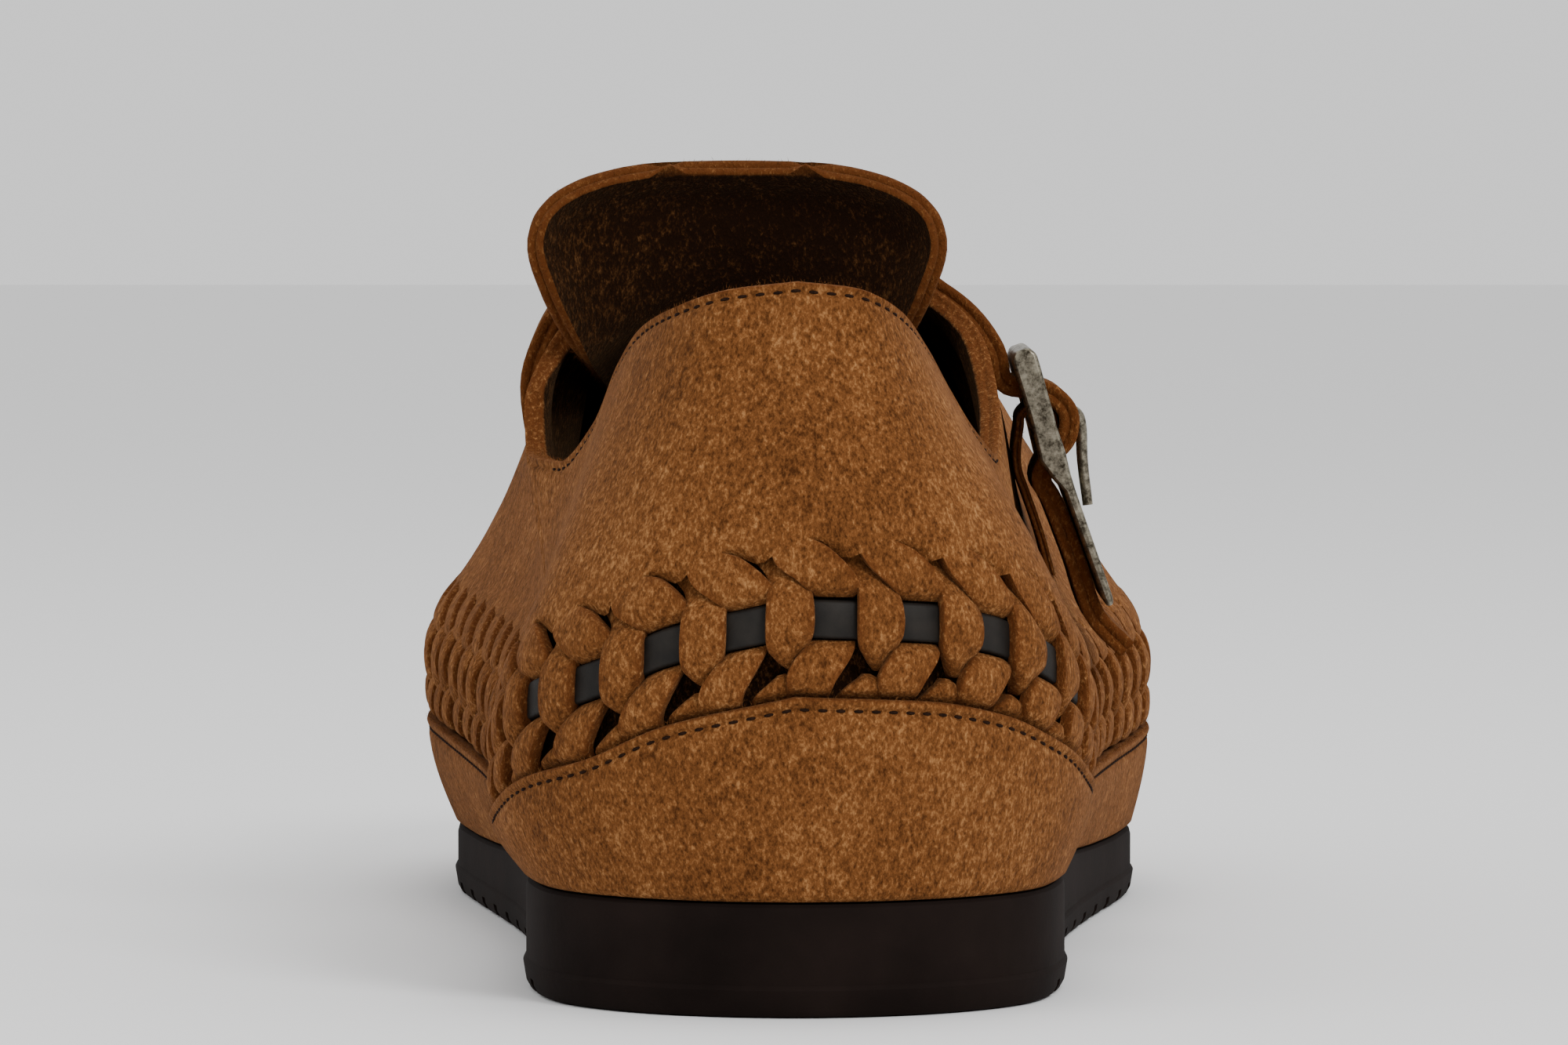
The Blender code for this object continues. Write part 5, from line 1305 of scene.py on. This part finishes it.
half_width = BUCKLE_WIDTH / 2
buckle_across = np.array((-half_width, BUCKLE_RAIL - half_width, half_width - BUCKLE_RAIL, half_width))
buckle_down, buckle_half, buckle_bow = np.repeat(np.array(BUCKLE_ROWS).T[..., None], 4, axis=-1)
buckle_half[BAR_ROWS, 1:3] = CENTRE_BAR / 2
buckle_bow[BAR_ROWS, 1:3] = BAR_SET_IN
buckle_pattern = Pattern()
outer = buckle_pattern.corners(buckle_place(buckle_down, buckle_bow + buckle_half, buckle_across[None]))
inner = buckle_pattern.corners(buckle_place(buckle_down, buckle_bow - buckle_half, buckle_across[None]))
cells = {(r, c) for r in range(len(BUCKLE_ROWS) - 1) for c in range(3)} - set(BUCKLE_OPENINGS)
for r, c in sorted(cells):
    ring = ((r, c), (r + 1, c), (r + 1, c + 1), (r, c + 1))
    buckle_pattern.faces.append([outer[place] for place in ring])
    buckle_pattern.faces.append([inner[place] for place in reversed(ring)])
    for k, neighbour in enumerate(((r, c - 1), (r + 1, c), (r, c + 1), (r - 1, c))):
        if neighbour not in cells:
            start, end = ring[k], ring[(k + 1) % 4]
            buckle_pattern.faces.append((outer[end], outer[start], inner[start], inner[end]))
bronze = antique_metal("antique_bronze", (0.040, 0.033, 0.022), (0.300, 0.270, 0.205))
buckle = buckle_pattern.piece("buckle_bronze", bronze, 40)
rounding = buckle.modifiers.new("cast_rounding", "BEVEL")
rounding.width = BUCKLE_ROUNDING
rounding.segments = 3
rounding.limit_method = "ANGLE"
rounding.angle_limit = math.radians(BUCKLE_ROUNDED_FROM)
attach(buckle, "root")
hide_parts("buckle_frame")

PRONG_SIDES = 12
PRONG_TAPER = 0.72
PRONG_PATH = (
    (CENTRE_BAR_AT, BAR_SET_IN + CENTRE_BAR / 2 + CLEARANCE), (0.0104, 0.0026), (0.0112, 0.0044),
    (0.0132, 0.0046), (0.0180, 0.0032), (0.0240, 0.0019),
)


def smooth_line(points, steps):
    """A rounded line through points, by Catmull-Rom curves."""
    points = np.asarray(points, float)
    padded = np.concatenate((points[:1] * 2 - points[1:2], points, points[-1:] * 2 - points[-2:-1]))
    line = []
    for k in range(len(points) - 1):
        p0, p1, p2, p3 = padded[k : k + 4]
        for t in np.arange(steps) / steps:
            bend = (2 * p0 - 5 * p1 + 4 * p2 - p3) * t * t + (3 * p1 - p0 - 3 * p2 + p3) * t**3
            line.append((2 * p1 + (p2 - p0) * t + bend) / 2)
    return np.array(line + [points[-1]])


prong_line = smooth_line(PRONG_PATH, 5)
prong_middle = buckle_place(prong_line[:, 0], prong_line[:, 1], 0.0)
prong_travel = unit_vector(np.gradient(prong_middle, axis=0))
prong_high = np.cross(prong_travel, FORWARD)
prong_radius = PRONG_DIAMETER / 2 * np.linspace(1.0, PRONG_TAPER, len(prong_line))
turns = np.arange(PRONG_SIDES) * 2 * math.pi / PRONG_SIDES
prong_rings = prong_middle[:, None] + prong_radius[:, None, None] * (
    FORWARD[None, None] * np.cos(turns)[None, :, None] + prong_high[:, None] * np.sin(turns)[None, :, None]
)
prong_pattern = Pattern()
prong_index = prong_pattern.corners(prong_rings)
prong_pattern.skin(prong_index, closed=True)
prong_pattern.faces.append(prong_index[0][::-1])
prong_pattern.faces.append(prong_index[-1])
prong_bronze = antique_metal("prong_bronze", (0.048, 0.040, 0.027), (0.330, 0.295, 0.225))
prong = prong_pattern.piece("prong_bronze", prong_bronze, 50)
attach(prong, "root")
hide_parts("buckle_prong")

# Straps
# The instep strap is two layers of suede. It comes over the foot from a seam on the inner side, goes under
# the buckle's top bar, over its centre bar and out behind the plate, and ends in a free tail. The anchor
# strap is one thinner layer, sewn low on the outer side, whose end loops round the centre bar.
STRAP_WIDTH = 0.0240
STRAP_THICKNESS = 0.0028
STRAP_CREST_SHIFT = 0.0125
STRAP_LIFT = 0.0001
# The upper is felt this far to either side of each place, along the foot and round the strap's axis
STRAP_FEEL = 0.0020
STRAP_FEEL_ANGLE = 0.03
# On the inner side the strap sinks into its seam, from this angle on and by this much at its end
STRAP_SEAM = 124
STRAP_SINK = 0.0050
SHANK_CENTRE_Z = 0.050
TAIL_REACH = 0.0440
ANCHOR_WIDTH = 0.0200
ANCHOR_THICKNESS = 0.0011
STRAP_ANGLES = (164, 152, 140, 132, 125, 118, 110, 100, 90, 80, 70, 61, 53)
STRAP_THROUGH_BUCKLE = (
    (-0.0012, -0.0034),
    (0.0036, -0.0037),
    (0.0056, -0.0006),
    (0.0074, 0.0020),
    (0.0105, 0.0033),
    (0.0136, 0.0020),
    (0.0154, -0.0008),
    (0.0180, -0.0032),
    (0.0215, -0.0027),
    (0.0300, -0.0024),
    (0.0380, -0.0024),
    (TAIL_REACH, 0.0002),
)
ANCHOR_BELOW = ((0.0130, -0.0050), (0.0158, -0.0058), (0.0190, -0.0058), (0.0250, -0.0058), (0.0310, -0.0062))
ANCHOR_LOOP_ANGLES = (0, 45, 90, 135, 180, 225, 262)
LANES = np.linspace(-0.5, 0.5, 4)

solid_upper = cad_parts["upper"].data
upper_tree = BVHTree.FromPolygons(
    [corner.co for corner in solid_upper.vertices], [tuple(face.vertices) for face in solid_upper.polygons]
)


def upper_reach(axis, angle, y):
    """How far the upper stands out from the strap's axis, at its farthest close round a place."""
    reaches = []
    for turn in (-STRAP_FEEL_ANGLE, 0.0, STRAP_FEEL_ANGLE):
        ray = Vector((math.cos(angle + turn), 0.0, math.sin(angle + turn)))
        for shift in (-STRAP_FEEL, 0.0, STRAP_FEEL):
            start = axis + Vector((0.0, y + shift, 0.0)) + ray * LENGTH
            distance = upper_tree.ray_cast(start, -ray)[3]
            if distance is not None:
                reaches.append(LENGTH - distance)
    return max(reaches)


def refine(grid, along, across):
    """A finer grid through a coarse one."""
    grid = np.array([smooth_line(row, across) for row in grid])
    return np.array([smooth_line(grid[:, k], along) for k in range(grid.shape[1])]).swapaxes(0, 1)


axis = Vector((TONGUE_MIDDLE * HALF_BALL / 2, 0.0, SHANK_CENTRE_Z))
strap_middle = []
for degrees in STRAP_ANGLES:
    angle = math.radians(degrees)
    ray = Vector((math.cos(angle), 0.0, math.sin(angle)))
    row = []
    for lane in LANES * STRAP_WIDTH:
        y = BUCKLE_ORIGIN[1] + STRAP_CREST_SHIFT * math.sin(angle) ** 6 + lane
        sunk = STRAP_SINK * ease((degrees - STRAP_SEAM) / (STRAP_ANGLES[0] - STRAP_SEAM))
        reach = upper_reach(axis, angle, y) + STRAP_LIFT + STRAP_THICKNESS / 2 - sunk
        row.append(axis + Vector((0.0, y, 0.0)) + ray * reach)
    strap_middle.append(row)
for down, out in STRAP_THROUGH_BUCKLE:
    strap_middle.append([buckle_place(down, out, lane) for lane in LANES * STRAP_WIDTH])
strap_grid = refine(np.array([[tuple(place) for place in row] for row in strap_middle]), 5, 6)
strap_pattern = Pattern()
# Its front, the side towards the foot, takes the lining tone: partly darker lining, partly painted shade
# under the strap
two_layer_sheet(strap_pattern, strap_grid, STRAP_THICKNESS, lined_shade=1.0)
strap_suede = suede("strap_suede", (0.040, 0.0125, 0.0030), (0.120, 0.0420, 0.0105), (0.31, 0.142, 0.048))
strap = strap_pattern.piece("instep_strap_suede", strap_suede, 60)
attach(strap, "root")
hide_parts("instep_strap")

anchor_loop = CENTRE_BAR * math.sqrt(0.5) + 1.5 * CLEARANCE + ANCHOR_THICKNESS / 2
anchor_path = []
for degrees in ANCHOR_LOOP_ANGLES:
    angle = math.radians(degrees)
    down = CENTRE_BAR_AT + anchor_loop * math.cos(angle)
    anchor_path.append((down, BAR_SET_IN + anchor_loop * math.sin(angle)))
anchor_path.extend(ANCHOR_BELOW)
anchor_middle = []
for down, out in anchor_path:
    anchor_middle.append([buckle_place(down, out, lane) for lane in LANES * ANCHOR_WIDTH])
anchor_pattern = Pattern()
two_layer_sheet(anchor_pattern, refine(np.array(anchor_middle), 4, 5), ANCHOR_THICKNESS)
anchor = anchor_pattern.piece("anchor_strap_suede", strap_suede, 60)
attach(anchor, "root")
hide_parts("anchor_strap")
